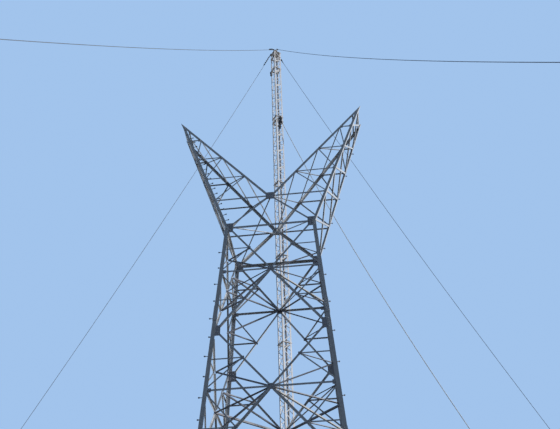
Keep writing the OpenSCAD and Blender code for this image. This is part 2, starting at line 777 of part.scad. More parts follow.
// Tackle: a sheave between two cheeks, hung from the mast by a fork, and its line
tail_l = 90;
block_l = fork_l + sheave_d + tail_l;
tackle_p = tackle_root + spot(tackle_bearing, tackle_eye);
tail_p = tackle_p + spot(tackle_bearing, block_l * [sin(tackle_hang), -cos(tackle_hang)]);
tackle_q = tackle_root + anchor_at(tackle_bearing, tackle_run);
module tackle_block() fitting_steel() between(tackle_p, tail_p) {
    cheek = 10;
    cheek_lip = 15;
    sheave_w = 48;
    axle_d = 50;
    lap = 12;
    middle = fork_l + sheave_d / 2 - lap;
    fork();
    translate([0, 0, middle]) rotate([0, 90, 0]) {
        for (s = [-1, 1]) translate([0, 0, s * (sheave_w + cheek) / 2 - s * cheek / 4])
            cylinder(h = cheek, d = sheave_d + 2 * cheek_lip, center = true);
        cylinder(h = sheave_w, d = sheave_d, center = true);
        cylinder(h = sheave_w + 4 * cheek, d = axle_d, center = true);
    }
    difference() {
        rotate([90, 0, 90]) linear_extrude(eye_t, center = true)
            eye_outline([0, block_l], [eye_r, middle], [-eye_r, middle]);
        translate([0, 0, block_l]) rotate([0, 90, 0]) pin_hole();
    }
}
module tackle_line() bright_rope()
    stay_rope(tail_p, tackle_q, line_d, line_d + 2 * socket_lip, line_sag);

// Colours as seen: greyed zinc on the tower, bright zinc on the mast
module tower_steel() color([0.42, 0.45, 0.48]) tower() children();
module mast_steel() color([0.78, 0.79, 0.8]) children();
module rope_steel() color([0.3, 0.31, 0.33]) children();
module bright_rope() color([0.72, 0.72, 0.7]) children();
module fitting_steel() color([0.13, 0.13, 0.14]) children();
module anchor_steel() color([0.36, 0.37, 0.38]) children();

module leg_front_left() tower_steel() leg();
module leg_front_right() tower_steel() mirror([1, 0, 0]) leg();
module leg_rear_left() tower_steel() mirror([0, 1, 0]) leg();
module leg_rear_right() tower_steel() rotate(180) leg();
module body_face_front() tower_steel() body_face(FRONT, 0);
module body_face_rear() tower_steel() body_face(FRONT, 180);
module body_face_left() tower_steel() body_face(SIDE, -90);
module body_face_right() tower_steel() body_face(SIDE, 90);
module base_bracing_front_left() tower_steel() base_bracing();
module base_bracing_front_right() tower_steel() mirror([1, 0, 0]) base_bracing();
module base_bracing_rear_left() tower_steel() mirror([0, 1, 0]) base_bracing();
module base_bracing_rear_right() tower_steel() rotate(180) base_bracing();
module plan_bracing_upper() tower_steel()
    diamond(cross_z(FRONT, waist_bar_z, joint_z), cross_z(SIDE, waist_bar_z, joint_z),
        stay_size);
module plan_bracing_lower() tower_steel()
    diamond(cross_z(FRONT, joint_z, girt_z), cross_z(SIDE, joint_z, girt_z), girt_size);
module plan_bracing_base() tower_steel() diamond(girt_z, girt_z, girt_size);
module crotch_frame_front() tower_steel() crotch_frame(diagonal_size, girt_size, 0);
module crotch_frame_rear() tower_steel() rotate(180)
    crotch_frame(rear_brace, stay_size, rear_bar_drop);

leg_front_left();
leg_front_right();
leg_rear_left();
leg_rear_right();
body_face_front();
body_face_rear();
body_face_left();
body_face_right();
base_bracing_front_left();
base_bracing_front_right();
base_bracing_rear_left();
base_bracing_rear_right();
plan_bracing_upper();
plan_bracing_lower();
plan_bracing_base();
crotch_frame_front();
crotch_frame_rear();
crotch_ties();
tower_steel() mirror([1, 0, 0]) arm_chords();  // arm_chords_left
tower_steel() mirror([1, 0, 0]) arm_front_bracing();  // arm_front_bracing_left
tower_steel() rotate(180) arm_front_bracing();  // arm_rear_bracing_left
tower_steel() mirror([1, 0, 0]) arm_side_bracing();  // arm_side_bracing_left
tower_steel() arm_chords();  // arm_chords_right
tower_steel() arm_front_bracing();  // arm_front_bracing_right
tower_steel() mirror([0, 1, 0]) arm_front_bracing();  // arm_rear_bracing_right
tower_steel() arm_side_bracing();  // arm_side_bracing_right
mast_foot();
mast_section(1);  // mast_section_1
mast_section(2);  // mast_section_2
mast_section(3);  // mast_section_3
mast_section(4);  // mast_section_4
mast_section(5);  // mast_section_5
mast_section(6);  // mast_section_6
mast_section(7);  // mast_section_7
mast_head();
guy(front_left_bearing, front_left_run, top_eye);  // guy_front_left
guy(front_right_bearing, front_right_run, top_eye);  // guy_front_right
guy(rear_left_bearing, rear_left_run, top_eye);  // guy_rear_left
guy(rear_right_bearing, rear_right_run, low_eye);  // guy_rear_right
anchor(front_left_bearing, front_left_run);  // anchor_front_left
anchor(front_right_bearing, front_right_run);  // anchor_front_right
anchor(rear_left_bearing, rear_left_run);  // anchor_rear_left
anchor(rear_right_bearing, rear_right_run);  // anchor_rear_right
tackle_block();
tackle_line();
translate(tackle_root) anchor(tackle_bearing, tackle_run);  // anchor_tackle
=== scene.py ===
import json
import math

import bmesh
import bpy
from bpy.props import FloatProperty, FloatVectorProperty, PointerProperty
from bpy.types import Operator, Panel, PropertyGroup
from mathutils import Matrix, Vector


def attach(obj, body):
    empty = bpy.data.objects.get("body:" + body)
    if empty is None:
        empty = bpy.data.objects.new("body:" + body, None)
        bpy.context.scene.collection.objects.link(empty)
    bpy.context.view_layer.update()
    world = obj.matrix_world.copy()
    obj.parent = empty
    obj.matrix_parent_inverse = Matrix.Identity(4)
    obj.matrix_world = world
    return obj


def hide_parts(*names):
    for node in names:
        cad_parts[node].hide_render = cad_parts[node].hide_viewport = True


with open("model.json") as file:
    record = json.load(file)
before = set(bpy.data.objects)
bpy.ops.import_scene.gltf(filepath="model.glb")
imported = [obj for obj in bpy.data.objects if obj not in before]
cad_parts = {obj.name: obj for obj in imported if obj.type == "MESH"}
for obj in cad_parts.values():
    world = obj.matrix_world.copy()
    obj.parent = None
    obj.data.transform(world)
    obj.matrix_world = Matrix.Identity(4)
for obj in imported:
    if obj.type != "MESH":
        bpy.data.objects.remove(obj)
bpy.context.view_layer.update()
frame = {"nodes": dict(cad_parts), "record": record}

bl_info = {
    "name": "Guyed lattice mast and forked tower",
    "version": (1, 0, 0),
    "blender": (4, 5, 0),
    "location": "3D View > Sidebar > Mast",
    "description": "Dresses the frame of a guyed lattice mast and of the tower before it",
    "category": "Object",
}

# Sizes of the solids, in metres, as in the part's source
GAP = 3.3
WAIST_W, WAIST_D, BASE_W, WAIST_Z = 3.5, 2.65, 5.66, 18.4
JOINT_IN, JOINT_Z, GIRT_Z, WAIST_BAR_Z = 0.15, 13.62, 8.77, 18.3475
ARM_RISE, ARM_REACH, TIP_D, CROTCH = 6.99, 4.12, 1.2, 1.57
LEG, LEG_T, CHORD_T, BRACE_T = 0.14, 0.012, 0.010, 0.008
CROSS_PLATE, JOINT_PLATE, CROTCH_PLATE, CROTCH_PLATE_H = 0.20, 0.20, 0.34, 0.36
FOOT_T = 0.03
MAST_W, MAST_TURN, FOOT_H, SECTIONS, SECTION_H, HEAD_H = 0.41, 36.0, 2.37, 7, 4.45, 1.5
POST, FRAME_T, FRAME_LIP = 0.06, 0.014, 0.022
MAST_PLATE_T, CAP_T = 0.035, 0.02
HEAD_Z = FOOT_H + SECTIONS * SECTION_H
CAP_Z = HEAD_Z + HEAD_H
CORNER = MAST_W / math.sqrt(2)
FORK_L, BUCKLE_L, SOCKET_L = 0.12, 0.76, 0.09
EYE_T, ANCHOR_EYE_Z, ANCHOR_T = 0.025, 0.26, 0.025
SHEAVE_D, TAIL_L, HANG = 0.14, 0.09, 6.0
FRONT_LEAN = (BASE_W - WAIST_D) / 2 / WAIST_Z
SIDE_LEAN = (BASE_W - WAIST_W) / 2 / WAIST_Z
ARM_LEAN = (WAIST_D - TIP_D) / 2 / ARM_RISE

# Sizes of the fittings that nothing in the sidebar changes, in metres
GUY_D, LINE_D = 0.024, 0.036
CHORD_GAUGE = 0.05       # from an arm chord's corner to its line of bolts
LEG_GAUGE = 0.085        # from a leg's corner to its joint bolts
STEP_GAUGE = 0.075       # from a leg's corner to its step bolts
HEAD_SHARE = 0.42        # height of a bolt's head for each metre over its flats
SPLICES = (14.35, 9.55, 4.6)  # heights of the joints in a leg
# Heights and rises of the mast's straps, from the top down
STRAPS = ((34.21, 0.26), (33.22, 0.28), (32.01, 0.3), (30.75, 0.3), (29.22, 0.3),
          (27.99, 0.3), (26.81, 0.3), (25.6, 0.3), (24.4, 0.3))

# Signs of the four corners of a plate or of the tower
SIGNS = [(x, y) for x in (-1, 1) for y in (-1, 1)]

# Turns of a fitting that is built up its own Z
OVER = Matrix.Rotation(math.pi, 4, "X")
FORWARD = Matrix.Rotation(math.pi / 2, 4, "X")
BACK = Matrix.Rotation(-math.pi / 2, 4, "X")
ACROSS = Matrix.Rotation(math.pi / 2, 4, "Y")


# Points and frames of the tower
class Face:
    """One side of the tower's body: its flat frame, and the points on it."""

    def __init__(self, half_waist, flare, lean, turn):
        self.half_waist, self.flare, self.lean = half_waist, flare, lean
        self.slant = math.hypot(1, lean)
        s = self.slant
        flat = Matrix(((1, 0, 0, 0), (0, lean / s, -1 / s, -BASE_W / 2),
                       (0, 1 / s, lean / s, 0), (0, 0, 0, 1)))
        self.matrix = (Matrix.Translation((0, -GAP, 0))
                       @ Matrix.Rotation(math.radians(turn), 4, "Z") @ flat)

    def half(self, z):
        return self.half_waist + self.flare * (WAIST_Z - z)

    def edge(self, s, z):
        """Point on a leg's outer corner."""
        return Vector((s * self.half(z), z * self.slant))

    def on(self, s, z):
        """Point where the bracing's lines meet beside a leg."""
        return Vector((s * (self.half(z) - JOINT_IN), z * self.slant))

    def cross(self, top, low):
        a, b = self.half(top) - JOINT_IN, self.half(low) - JOINT_IN
        return top - (top - low) * a / (a + b)

    def world(self, point, w=0.0):
        return self.matrix @ Vector((point[0], point[1], w))


FACES = {
    "front": Face(WAIST_W / 2, SIDE_LEAN, FRONT_LEAN, 0),
    "rear": Face(WAIST_W / 2, SIDE_LEAN, FRONT_LEAN, 180),
    "left": Face(WAIST_D / 2, FRONT_LEAN, SIDE_LEAN, -90),
    "right": Face(WAIST_D / 2, FRONT_LEAN, SIDE_LEAN, 90),
}
PANELS = ((WAIST_BAR_Z, JOINT_Z), (JOINT_Z, GIRT_Z))


def level(k):
    """Height of an arm's cross bar above the waist, from the crotch at 0."""
    return CROTCH + k * (ARM_RISE - CROTCH) / 4


def outer_x(h):
    return WAIST_W / 2 + (ARM_REACH - WAIST_W / 2) * h / ARM_RISE


def inner_x(h):
    return ARM_REACH * (h - CROTCH) / (ARM_RISE - CROTCH)


def arm_y(h):
    return WAIST_D / 2 - ARM_LEAN * h


def at(x, h):
    return Vector((x, h * math.hypot(1, ARM_LEAN)))


def arm_frame(side, rear):
    """Frame of an arm's front or rear; side is 1 for the right arm and -1 for the left."""
    s = math.hypot(1, ARM_LEAN)
    flat = Matrix(((1, 0, 0, 0), (0, ARM_LEAN / s, -1 / s, -WAIST_D / 2),
                   (0, 1 / s, ARM_LEAN / s, WAIST_Z), (0, 0, 0, 1)))
    turn = Matrix.Diagonal((side, -1 if rear else 1, 1, 1))
    return Matrix.Translation((0, -GAP, 0)) @ turn @ flat


def arm_side_frame(side, outer):
    """Frame of an arm's outer or inner side, with X to the rear and Y up the chord."""
    run, rise = (ARM_REACH - WAIST_W / 2, ARM_RISE) if outer else (ARM_REACH, ARM_RISE - CROTCH)
    n = math.hypot(run, rise)
    u, w = run / n, rise / n
    flip = 1 if outer else -1
    x0, z0 = (WAIST_W / 2, 0.0) if outer else (0.0, CROTCH)
    flat = Matrix(((0, u, flip * w, x0), (flip, 0, 0, 0), (0, w, -flip * u, WAIST_Z + z0),
                   (0, 0, 0, 1)))
    return (Matrix.Translation((0, -GAP, 0)) @ Matrix.Diagonal((side, 1, 1, 1)) @ flat,
            n / rise, z0, flip)


def mast_face(turn):
    """Frame of a mast face: X along it, Y up and Z outwards."""
    return (Matrix.Rotation(math.radians(MAST_TURN + turn), 4, "Z")
            @ Matrix.Translation((0, -MAST_W / 2, 0)) @ FORWARD)


def spot(bearing, out, z, root=(0, 0, 0)):
    b = math.radians(bearing)
    return Vector(root) + Vector((out * math.cos(b), out * math.sin(b), z))


def frame_of(x, y, z, origin):
    """Frame at the origin whose axes point along x, y and z."""
    m = Matrix((x, y, z)).transposed().to_4x4()
    m.translation = origin
    return m


def along_frame(p, q):
    """Frame at p with Z towards q and X level."""
    z = (q - p).normalized()
    x = Vector((0, 0, 1)).cross(z)
    x = x.normalized() if x.length > 1e-6 else Vector((1, 0, 0))
    return frame_of(x, z.cross(x), z, p)


def moved(matrix, x, y, z=0.0):
    return matrix @ Matrix.Translation((x, y, z))


# Mesh building
def cut_corners(x, y, c):
    """Rectangle out to x and y with its corners cut off by c, anticlockwise."""
    return [(x, -y + c), (x, y - c), (x - c, y), (-x + c, y), (-x, y - c), (-x, -y + c),
            (-x + c, -y), (x - c, -y)]


def hoops(rings, sides):
    """Faces between each ring of points and the next."""
    return [(a + k, a + (k + 1) % sides, b + (k + 1) % sides, b + k)
            for a, b in zip(rings, rings[1:]) for k in range(sides)]


def either_side(s, near, far):
    """Lowest and highest Z of a plate that lies from near to far on side s."""
    return (near, far) if s > 0 else (-far, -near)


class Shape:
    """Gathers faces in the row frame and makes one piece of them."""

    def __init__(self):
        self.points, self.faces, self.smooth = [], [], []

    def add(self, points, faces, smooth=False):
        base = len(self.points)
        self.points += [tuple(p) for p in points]
        self.faces += [tuple(base + i for i in face) for face in faces]
        self.smooth += [smooth] * len(faces)

    def prism(self, matrix, outline, low, high):
        """Upright prism on an outline given anticlockwise in the matrix's X and Y."""
        n = len(outline)
        points = [matrix @ Vector((x, y, z)) for z in (low, high) for x, y in outline]
        sides = [(i, (i + 1) % n, n + (i + 1) % n, n + i) for i in range(n)]
        self.add(points, [tuple(reversed(range(n))), tuple(range(n, 2 * n))] + sides)

    def box(self, matrix, size, centre=(0, 0, 0), chamfer=0.0):
        """Box with its four upright edges cut off by the chamfer."""
        x, y, z = (d / 2 for d in size)
        plain = [(x, -y), (x, y), (-x, y), (-x, -y)]
        self.prism(moved(matrix, *centre), cut_corners(x, y, chamfer) if chamfer else plain,
                   -z, z)

    def lathe(self, matrix, profile, sides, smooth=False):
        """Turned form about the matrix's Z; the profile's first and last radius may be 0."""
        rings, points = [], []
        for r, z in profile:
            if r < 1e-9:
                rings.append([len(points)])
                points.append(matrix @ Vector((0, 0, z)))
                continue
            rings.append(list(range(len(points), len(points) + sides)))
            for k in range(sides):
                a = 2 * math.pi * k / sides
                points.append(matrix @ Vector((r * math.cos(a), r * math.sin(a), z)))
        faces = []
        for a, b in zip(rings, rings[1:]):
            for k in range(sides):
                m = (k + 1) % sides
                if len(a) == 1:
                    faces.append((a[0], b[m], b[k]))
                elif len(b) == 1:
                    faces.append((a[k], a[m], b[0]))
                else:
                    faces.append((a[k], a[m], b[m], b[k]))
        self.add(points, faces, smooth)

    def tube(self, path, radius, sides=8):
        """Tube along a path, with flat ends."""
        rings, points = [], []
        side = None
        for i, p in enumerate(path):
            way = (path[min(i + 1, len(path) - 1)] - path[max(i - 1, 0)]).normalized()
            if side is None:
                side = way.cross(Vector((0, 0, 1)))
                side = side if side.length > 1e-4 else way.cross(Vector((0, 1, 0)))
            side = (side - way * side.dot(way)).normalized()
            up = way.cross(side)
            rings.append(len(points))
            for k in range(sides):
                a = 2 * math.pi * k / sides
                points.append(p + (side * math.cos(a) + up * math.sin(a)) * radius)
        self.add(points, hoops(rings, sides), True)
        last = len(self.points) - sides
        first = len(self.points) - len(points)
        self.faces += [tuple(reversed(range(first, first + sides))),
                       tuple(range(last, last + sides))]
        self.smooth += [False, False]

    def angle(self, p, q, size, thick, up):
        """Angle bar from p to q, with its root on the line; up is where one flange points."""
        z = (q - p).normalized()
        x = up.cross(z).normalized()
        a, t = size, thick
        self.prism(frame_of(x, z.cross(x), z, p),
                   [(0, 0), (a, 0), (a, t), (t, t), (t, a), (0, a)], 0, (q - p).length)

    def bolt(self, matrix, across, head, nut_at=None):
        """Hexagon head on the matrix's XY plane and, further down Z, its nut and thread."""
        r, washer = across / math.sqrt(3), head * 0.18
        self.lathe(matrix, [(r * 1.12, 0), (r * 1.12, washer), (0, washer)], 10)
        self.lathe(matrix, [(r, washer), (r, head * 0.9), (r * 0.84, head * 1.05),
                            (0, head * 1.05)], 6)
        if nut_at is not None:
            under = moved(matrix, 0, 0, nut_at) @ OVER
            self.lathe(under, [(r, 0), (r, head * 1.2), (r * 0.84, head * 1.35),
                               (r * 0.5, head * 1.35), (r * 0.5, head * 2.1),
                               (0, head * 2.1)], 6)

    def piece(self, name, material, slot, replaced=()):
        mesh = bpy.data.meshes.new(name)
        mesh.from_pydata(self.points, [], self.faces)
        mesh.polygons.foreach_set("use_smooth", self.smooth)
        form = bmesh.new()
        form.from_mesh(mesh)
        bmesh.ops.recalc_face_normals(form, faces=form.faces)
        form.to_mesh(mesh)
        form.free()
        mesh.materials.append(material)
        mesh.validate()
        mesh.update()
        obj = bpy.data.objects.new(name, mesh)
        bpy.context.scene.collection.objects.link(obj)
        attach(obj, "root")
        if replaced:
            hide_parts(*replaced)
        return obj


def joint_bolt(shape, matrix, nut_at):
    """Bolt of the tower's size, with its nut that far up the matrix's Z."""
    shape.bolt(matrix, sizes().bolt, sizes().bolt * HEAD_SHARE, nut_at)


def stud(shape, matrix, across, head, thread):
    """Holding-down bolt: its nut, and the thread that stands out of it."""
    shape.bolt(matrix, across, head)
    shape.lathe(matrix, thread, 10)


# Shader building
class Sock:
    """A shader socket that can be reckoned with: each sum adds a Math node."""

    def __init__(self, tree, socket=None):
        self.tree, self.socket = tree, socket

    def node(self, kind, settings=None, inputs=None, out=0):
        """Any other node: its type, its settings, and values or links for its sockets."""
        made = self.tree.nodes.new(kind)
        for key, value in (settings or {}).items():
            setattr(made, key, value)
        for key, value in (inputs or {}).items():
            if isinstance(value, Sock):
                self.tree.links.new(value.socket, made.inputs[key])
            else:
                made.inputs[key].default_value = value
        return Sock(self.tree, made.outputs[out])

    def sum(self, operation, a, b):
        return self.node("ShaderNodeMath", {"operation": operation}, {0: a, 1: b})

    def __add__(self, other):
        return self.sum("ADD", self, other)

    def __radd__(self, other):
        return self.sum("ADD", other, self)

    def __sub__(self, other):
        return self.sum("SUBTRACT", self, other)

    def __rsub__(self, other):
        return self.sum("SUBTRACT", other, self)

    def __mul__(self, other):
        return self.sum("MULTIPLY", self, other)

    def __rmul__(self, other):
        return self.sum("MULTIPLY", other, self)

    def span(self, low, high):
        """0 up to low, 1 from high on, and smooth between."""
        return self.node("ShaderNodeMapRange", {"interpolation_type": "SMOOTHSTEP"},
                         {0: self, 1: low, 2: high})

    def scaled(self, vector):
        """The vector or colour times this."""
        return self.node("ShaderNodeVectorMath", {"operation": "SCALE"},
                         {0: vector, "Scale": self})

    def mix(self, a, b):
        """Colour a where this is 0 and colour b where it is 1."""
        return self.node("ShaderNodeMix", {"data_type": "RGBA"}, {0: self, 6: a, 7: b}, 2)

    def noise(self, where, scale, detail=3.0, rough=0.55):
        return self.node("ShaderNodeTexNoise", {},
                         {"Vector": where, "Scale": scale, "Detail": detail, "Roughness": rough})

    def stretched(self, where, scale):
        return self.node("ShaderNodeVectorMath", {"operation": "MULTIPLY"}, {0: where, 1: scale})


def rgba(colour):
    return (*colour, 1.0)


def start_material(name):
    material = bpy.data.materials.new(name)
    material.use_nodes = True
    tree = material.node_tree
    shader = tree.nodes["Principled BSDF"]
    base = Sock(tree)
    where = base.node("ShaderNodeTexCoord", out=3)
    return material, tree, shader, base, where


def finish(tree, shader, colour, rough, height, strength, metal=None):
    tree.links.new(colour.socket, shader.inputs["Base Color"])
    tree.links.new(rough.socket, shader.inputs["Roughness"])
    if metal is not None:
        tree.links.new(metal.socket, shader.inputs["Metallic"])
    bump = height.node("ShaderNodeBump", {}, {"Strength": strength, "Distance": 0.002,
                                              "Height": height})
    tree.links.new(bump.socket, shader.inputs["Normal"])


def zinc(name, colour, bloom, dirt, spangle=34.0, metallic=0.3, rough=0.5, grime=0.35):
    """Hot-dip zinc: spangle, pale bloom, rain streaks down it and grime in patches."""
    material, tree, shader, base, where = start_material(name)
    shader.inputs["Metallic"].default_value = metallic
    cell = base.node("ShaderNodeTexVoronoi", {}, {"Vector": where, "Scale": spangle}, 1)
    cell = cell.node("ShaderNodeSeparateColor", {}, {0: cell})
    patch = base.noise(where, 0.55, 4.0)
    fine = base.noise(where, 7.0, 5.0, 0.6)
    run = base.noise(base.stretched(where, (14.0, 14.0, 0.7)), 1.0, 4.0, 0.6)
    shade = 0.86 + cell * 0.16 + (patch - 0.5) * 0.5
    plain = shade.scaled(colour)
    pale = (patch * 0.5 + fine * 0.5).span(0.52, 0.68) * 0.6
    tint = pale.mix(plain, rgba(bloom))
    tint = (run.span(0.52, 0.74) * grime).mix(tint, rgba(dirt))
    rust = rgba((0.16, 0.10, 0.065))
    tint = (fine.span(0.70, 0.78) * 0.35).mix(tint, rust)
    gloss = rough + (fine - 0.5) * 0.3 - cell * 0.1 + pale * 0.12
    finish(tree, shader, tint, gloss, cell * 0.4 + fine, 0.25)
    return material


def wire(name, colour, dark, wear=0.4):
    """Stranded wire: grease in patches and brighter crowns."""
    material, tree, shader, base, where = start_material(name)
    shader.inputs["Metallic"].default_value = 0.15
    patch = base.noise(where, 1.3, 4.0)
    fine = base.noise(where, 90.0, 3.0)
    tint = (patch.span(0.42, 0.62) * wear).mix(rgba(colour), rgba(dark))
    shade = 0.75 + fine * 0.5
    finish(tree, shader, shade.scaled(tint), 0.42 + patch * 0.2, fine, 0.3)
    return material


def paint(name, colour, bare):
    """Dark paint, chipped to bare steel in places, with dust on it."""
    material, tree, shader, base, where = start_material(name)
    fine = base.noise(where, 22.0, 6.0, 0.65)
    dust = base.noise(where, 3.0, 4.0)
    chip = fine.span(0.66, 0.69)
    dusty = rgba((0.30, 0.29, 0.27))
    tint = (dust.span(0.45, 0.75) * 0.3).mix(rgba(colour), dusty)
    tint = chip.mix(tint, rgba(bare))
    finish(tree, shader, tint, 0.5 + dust * 0.25 - chip * 0.2, fine, 0.35, chip * 0.8)
    return material


# Sizes and colours that a user would change
def colour_property(name, description, default):
    return FloatVectorProperty(name=name, description=description, subtype="COLOR",
                               default=default, min=0, max=1)


def length_property(name, description, default, **limits):
    return FloatProperty(name=name, description=description, unit="LENGTH", default=default,
                         **limits)


class MastLooks(PropertyGroup):
    """Colours and light."""
    tower: colour_property("Tower zinc", "Colour of the tower's zinc", (0.62, 0.65, 0.69))
    plates: colour_property("Joint plates", "Colour of the joint plates", (0.36, 0.37, 0.42))
    # Inner zinc is the tower's zinc painted darker: painted shade on the bars inside the tower
    # and the left arm's step bolts
    inner: colour_property("Inner zinc", "Darker zinc on the bars inside the tower, painted shade",
                           (0.24, 0.25, 0.29))
    mast: colour_property("Mast zinc", "Colour of the mast's zinc", (0.85, 0.85, 0.87))
    # The strap colour also makes the painted highlight strips on the mast and the two pale inner
    # stays
    straps: colour_property("Mast straps", "Colour of the new straps", (0.88, 0.88, 0.88))
    guys: colour_property("Guys", "Colour of the guy ropes", (0.17, 0.18, 0.20))
    line: colour_property("Tackle line", "Colour of the tackle's line", (0.86, 0.86, 0.83))
    fitting: colour_property("Dark fittings", "Colour of their paint", (0.03, 0.03, 0.035))
    backdrop: colour_property("Backdrop", "Colour behind the object", (0.36, 0.55, 0.84))
    sun: FloatProperty(name="Sun", description="Strength of the sun lamp", default=3.8, min=0)
    sky: FloatProperty(name="Sky light", description="Strength of the light all round",
                       default=0.07, min=0)
    sun_bearing: FloatProperty(name="Sun bearing", description="Bearing from the X axis",
                               subtype="ANGLE", default=math.radians(2))
    sun_height: FloatProperty(name="Sun height", description="Height above the horizon",
                              subtype="ANGLE", default=math.radians(13))


class MastSizes(PropertyGroup):
    """Sizes of the fittings."""
    bolt: length_property("Bolts", "Width over the flats of the bolt heads", 0.030,
                          min=0.016, max=0.04)
    plate_lip: length_property("Plate lip", "How far the joint plates stand proud of the bars",
                               0.0025, min=0.001)
    step_long: length_property("Long steps", "Length of the long step bolts", 0.15,
                               min=0.08, max=0.3)
    step_short: length_property("Short steps", "Length of the short ones", 0.09,
                                min=0.06, max=0.3)
    step_arm: length_property("Arm steps", "Length of the arms' step bolts", 0.25,
                              min=0.14, max=0.3)
    step_pitch: length_property("Step pitch", "Height between the left front leg's step bolts",
                                0.752, min=0.3, max=1.0)
    arm_pitch: length_property("Arm step pitch", "Height between the arms' step bolts", 0.32,
                               min=0.2, max=0.6)
    stay: length_property("Inner stays", "Flange width of the inner stays", 0.05,
                          min=0.03, max=0.07)
    lay: FloatProperty(name="Rope lay", description="Length of one turn of a strand, in "
                       "rope diameters", default=8.0, min=5, max=12)


MATERIALS = {}


def looks():
    return bpy.context.scene.mast_looks


def sizes():
    return bpy.context.scene.mast_sizes


# Pieces
class MAST_OT_finishes(Operator):
    """Give every solid its finish"""
    bl_idname = "mast.finishes"
    bl_label = "Finishes"

    def execute(self, context):
        c = looks()
        MATERIALS["tower"] = zinc("Tower zinc", tuple(c.tower), (0.73, 0.75, 0.77),
                                  (0.32, 0.34, 0.37), metallic=0.10)
        MATERIALS["plates"] = zinc("Joint plate zinc", tuple(c.plates), (0.44, 0.45, 0.50),
                                   (0.20, 0.19, 0.21), 26.0, 0.10, 0.5)
        # Painted shade: a darker copy of the tower's zinc for the plan bracing, the inner stays
        # with their bolts and the left arm's step bolts
        MATERIALS["inner"] = zinc("Painted shade zinc", tuple(c.inner), (0.34, 0.35, 0.38),
                                  (0.15, 0.15, 0.17), 30.0, 0.10, 0.55)
        MATERIALS["mast"] = zinc("Mast zinc", tuple(c.mast), (0.88, 0.88, 0.89),
                                 (0.60, 0.60, 0.64), 60.0, 0.08, 0.42, 0.3)
        # Pale zinc for the straps, and as painted highlight on the mast's strips and two inner
        # stays
        MATERIALS["straps"] = zinc("Strap zinc and painted highlights", tuple(c.straps), (0.90, 0.90, 0.90),
                                   (0.7, 0.7, 0.7), 60.0, 0.05, 0.38, 0.2)
        MATERIALS["anchors"] = zinc("Anchor zinc", (0.33, 0.34, 0.35), (0.45, 0.46, 0.46),
                                    (0.14, 0.12, 0.10), 30.0, 0.3, 0.55, 0.5)
        MATERIALS["guys"] = wire("Guy wire", tuple(c.guys), (0.07, 0.07, 0.075))
        MATERIALS["line"] = wire("Bright wire", tuple(c.line), (0.66, 0.65, 0.60), 0.3)
        MATERIALS["dark"] = paint("Dark paint", tuple(c.fitting), (0.32, 0.31, 0.30))
        slots = {"tower_steel": "tower", "mast_steel": "mast", "guy_rope": "guys",
                 "bright_rope": "line", "dark_fitting": "dark", "anchor_steel": "anchors"}
        wanted = {s["node"]: s["material_slot"] for s in frame["record"]["subparts"]}
        for node, obj in frame["nodes"].items():
            obj.data.materials.clear()
            # The plan bracing takes the darker inner zinc: painted shade
            kind = "inner" if node.startswith("plan_bracing") else slots[wanted[node]]
            obj.data.materials.append(MATERIALS[kind])
        return {"FINISHED"}


def cover(shape, matrix, centre, size, low, high, limit=None):
    """Joint plate over a plane plate of the solids, held inside the limit on |X|."""
    lip, cut = 0.006, 0.012
    points = []
    for x, y in cut_corners(size[0] / 2 + lip, size[1] / 2 + lip, cut):
        x, y = centre[0] + x, centre[1] + y
        if limit is not None:
            most = limit(y)
            x = max(-most, min(most, x))
        points.append((x, y))
    shape.prism(matrix, points, low, high)


def plate_bolts(shape, matrix, centre, offsets, high, low):
    for dx, dy in offsets:
        joint_bolt(shape, moved(matrix, centre[0] + dx, centre[1] + dy, high), low - high)


class MAST_OT_body_plates(Operator):
    """Joint plates and bolts on the four sides of the tower's body"""
    bl_idname = "mast.body_plates"
    bl_label = "Body joint plates"

    def execute(self, context):
        lip = sizes().plate_lip
        low, high = -LEG_T - BRACE_T - lip, -LEG_T + lip
        for name, face in FACES.items():
            plates, bolts = Shape(), Shape()

            def limit(y):
                return face.half(y / face.slant) - 0.035

            def put(centre, size, offsets):
                cover(plates, face.matrix, centre, size, low, high, limit)
                plate_bolts(bolts, face.matrix, centre, offsets, high, low)

            for top, bottom in PANELS:
                mid = face.cross(top, bottom)
                put(face.on(0, mid), (CROSS_PLATE, CROSS_PLATE),
                    [(x, y) for x in (-0.07, 0.07) for y in (-0.078, 0.078)]
                    + [(-0.03, 0.0), (0.03, 0.0)])
                for s in (-1, 1):
                    put(face.on(s, mid), (0.9 * JOINT_PLATE, 0.7 * JOINT_PLATE),
                        [(-s * 0.06, 0), (-s * 0.02, 0)])
                    for end in (top, bottom):
                        half_way = (face.on(s, end) + face.on(0, mid)) / 2
                        put(half_way, (CROSS_PLATE / 2, CROSS_PLATE / 2),
                            [(-0.028, 0.025), (0.028, -0.025)])
            for s in (-1, 1):
                put(face.on(s, WAIST_BAR_Z - JOINT_PLATE / 3), (1.6 * JOINT_PLATE,
                                                                1.5 * JOINT_PLATE),
                    [(-s * d, 0.067) for d in (0.04, 0.09, 0.135)]
                    + [(-s * 0.06, -0.06), (-s * 0.02, -0.02)])
                put(face.on(s, JOINT_Z), (1.5 * JOINT_PLATE, 2 * JOINT_PLATE),
                    [(-s * 0.11, d) for d in (-0.14, 0.14)]
                    + [(-s * 0.06, d) for d in (-0.08, 0.08)])
                put(face.on(s, GIRT_Z), (1.5 * JOINT_PLATE, 0.25),
                    [(-s * d, 0.0) for d in (0.05, 0.11)] + [(-s * 0.06, 0.08)])
                for z in (WAIST_BAR_Z, JOINT_Z, GIRT_Z):
                    for dz in (-0.16, -0.08, 0.0, 0.08, 0.16):
                        if z + dz < WAIST_Z - 0.03:
                            p = face.edge(s, z + dz) - Vector((s * LEG_GAUGE, 0))
                            joint_bolt(bolts, moved(face.matrix, *p), low)
            put(face.on(0, GIRT_Z), (0.9 * JOINT_PLATE, 0.25), [(-0.055, 0), (0.055, 0)])
            plates.piece("plates_" + name, MATERIALS["plates"], "tower_steel")
            bolts.piece("bolts_" + name, MATERIALS["tower"], "tower_steel")
        return {"FINISHED"}


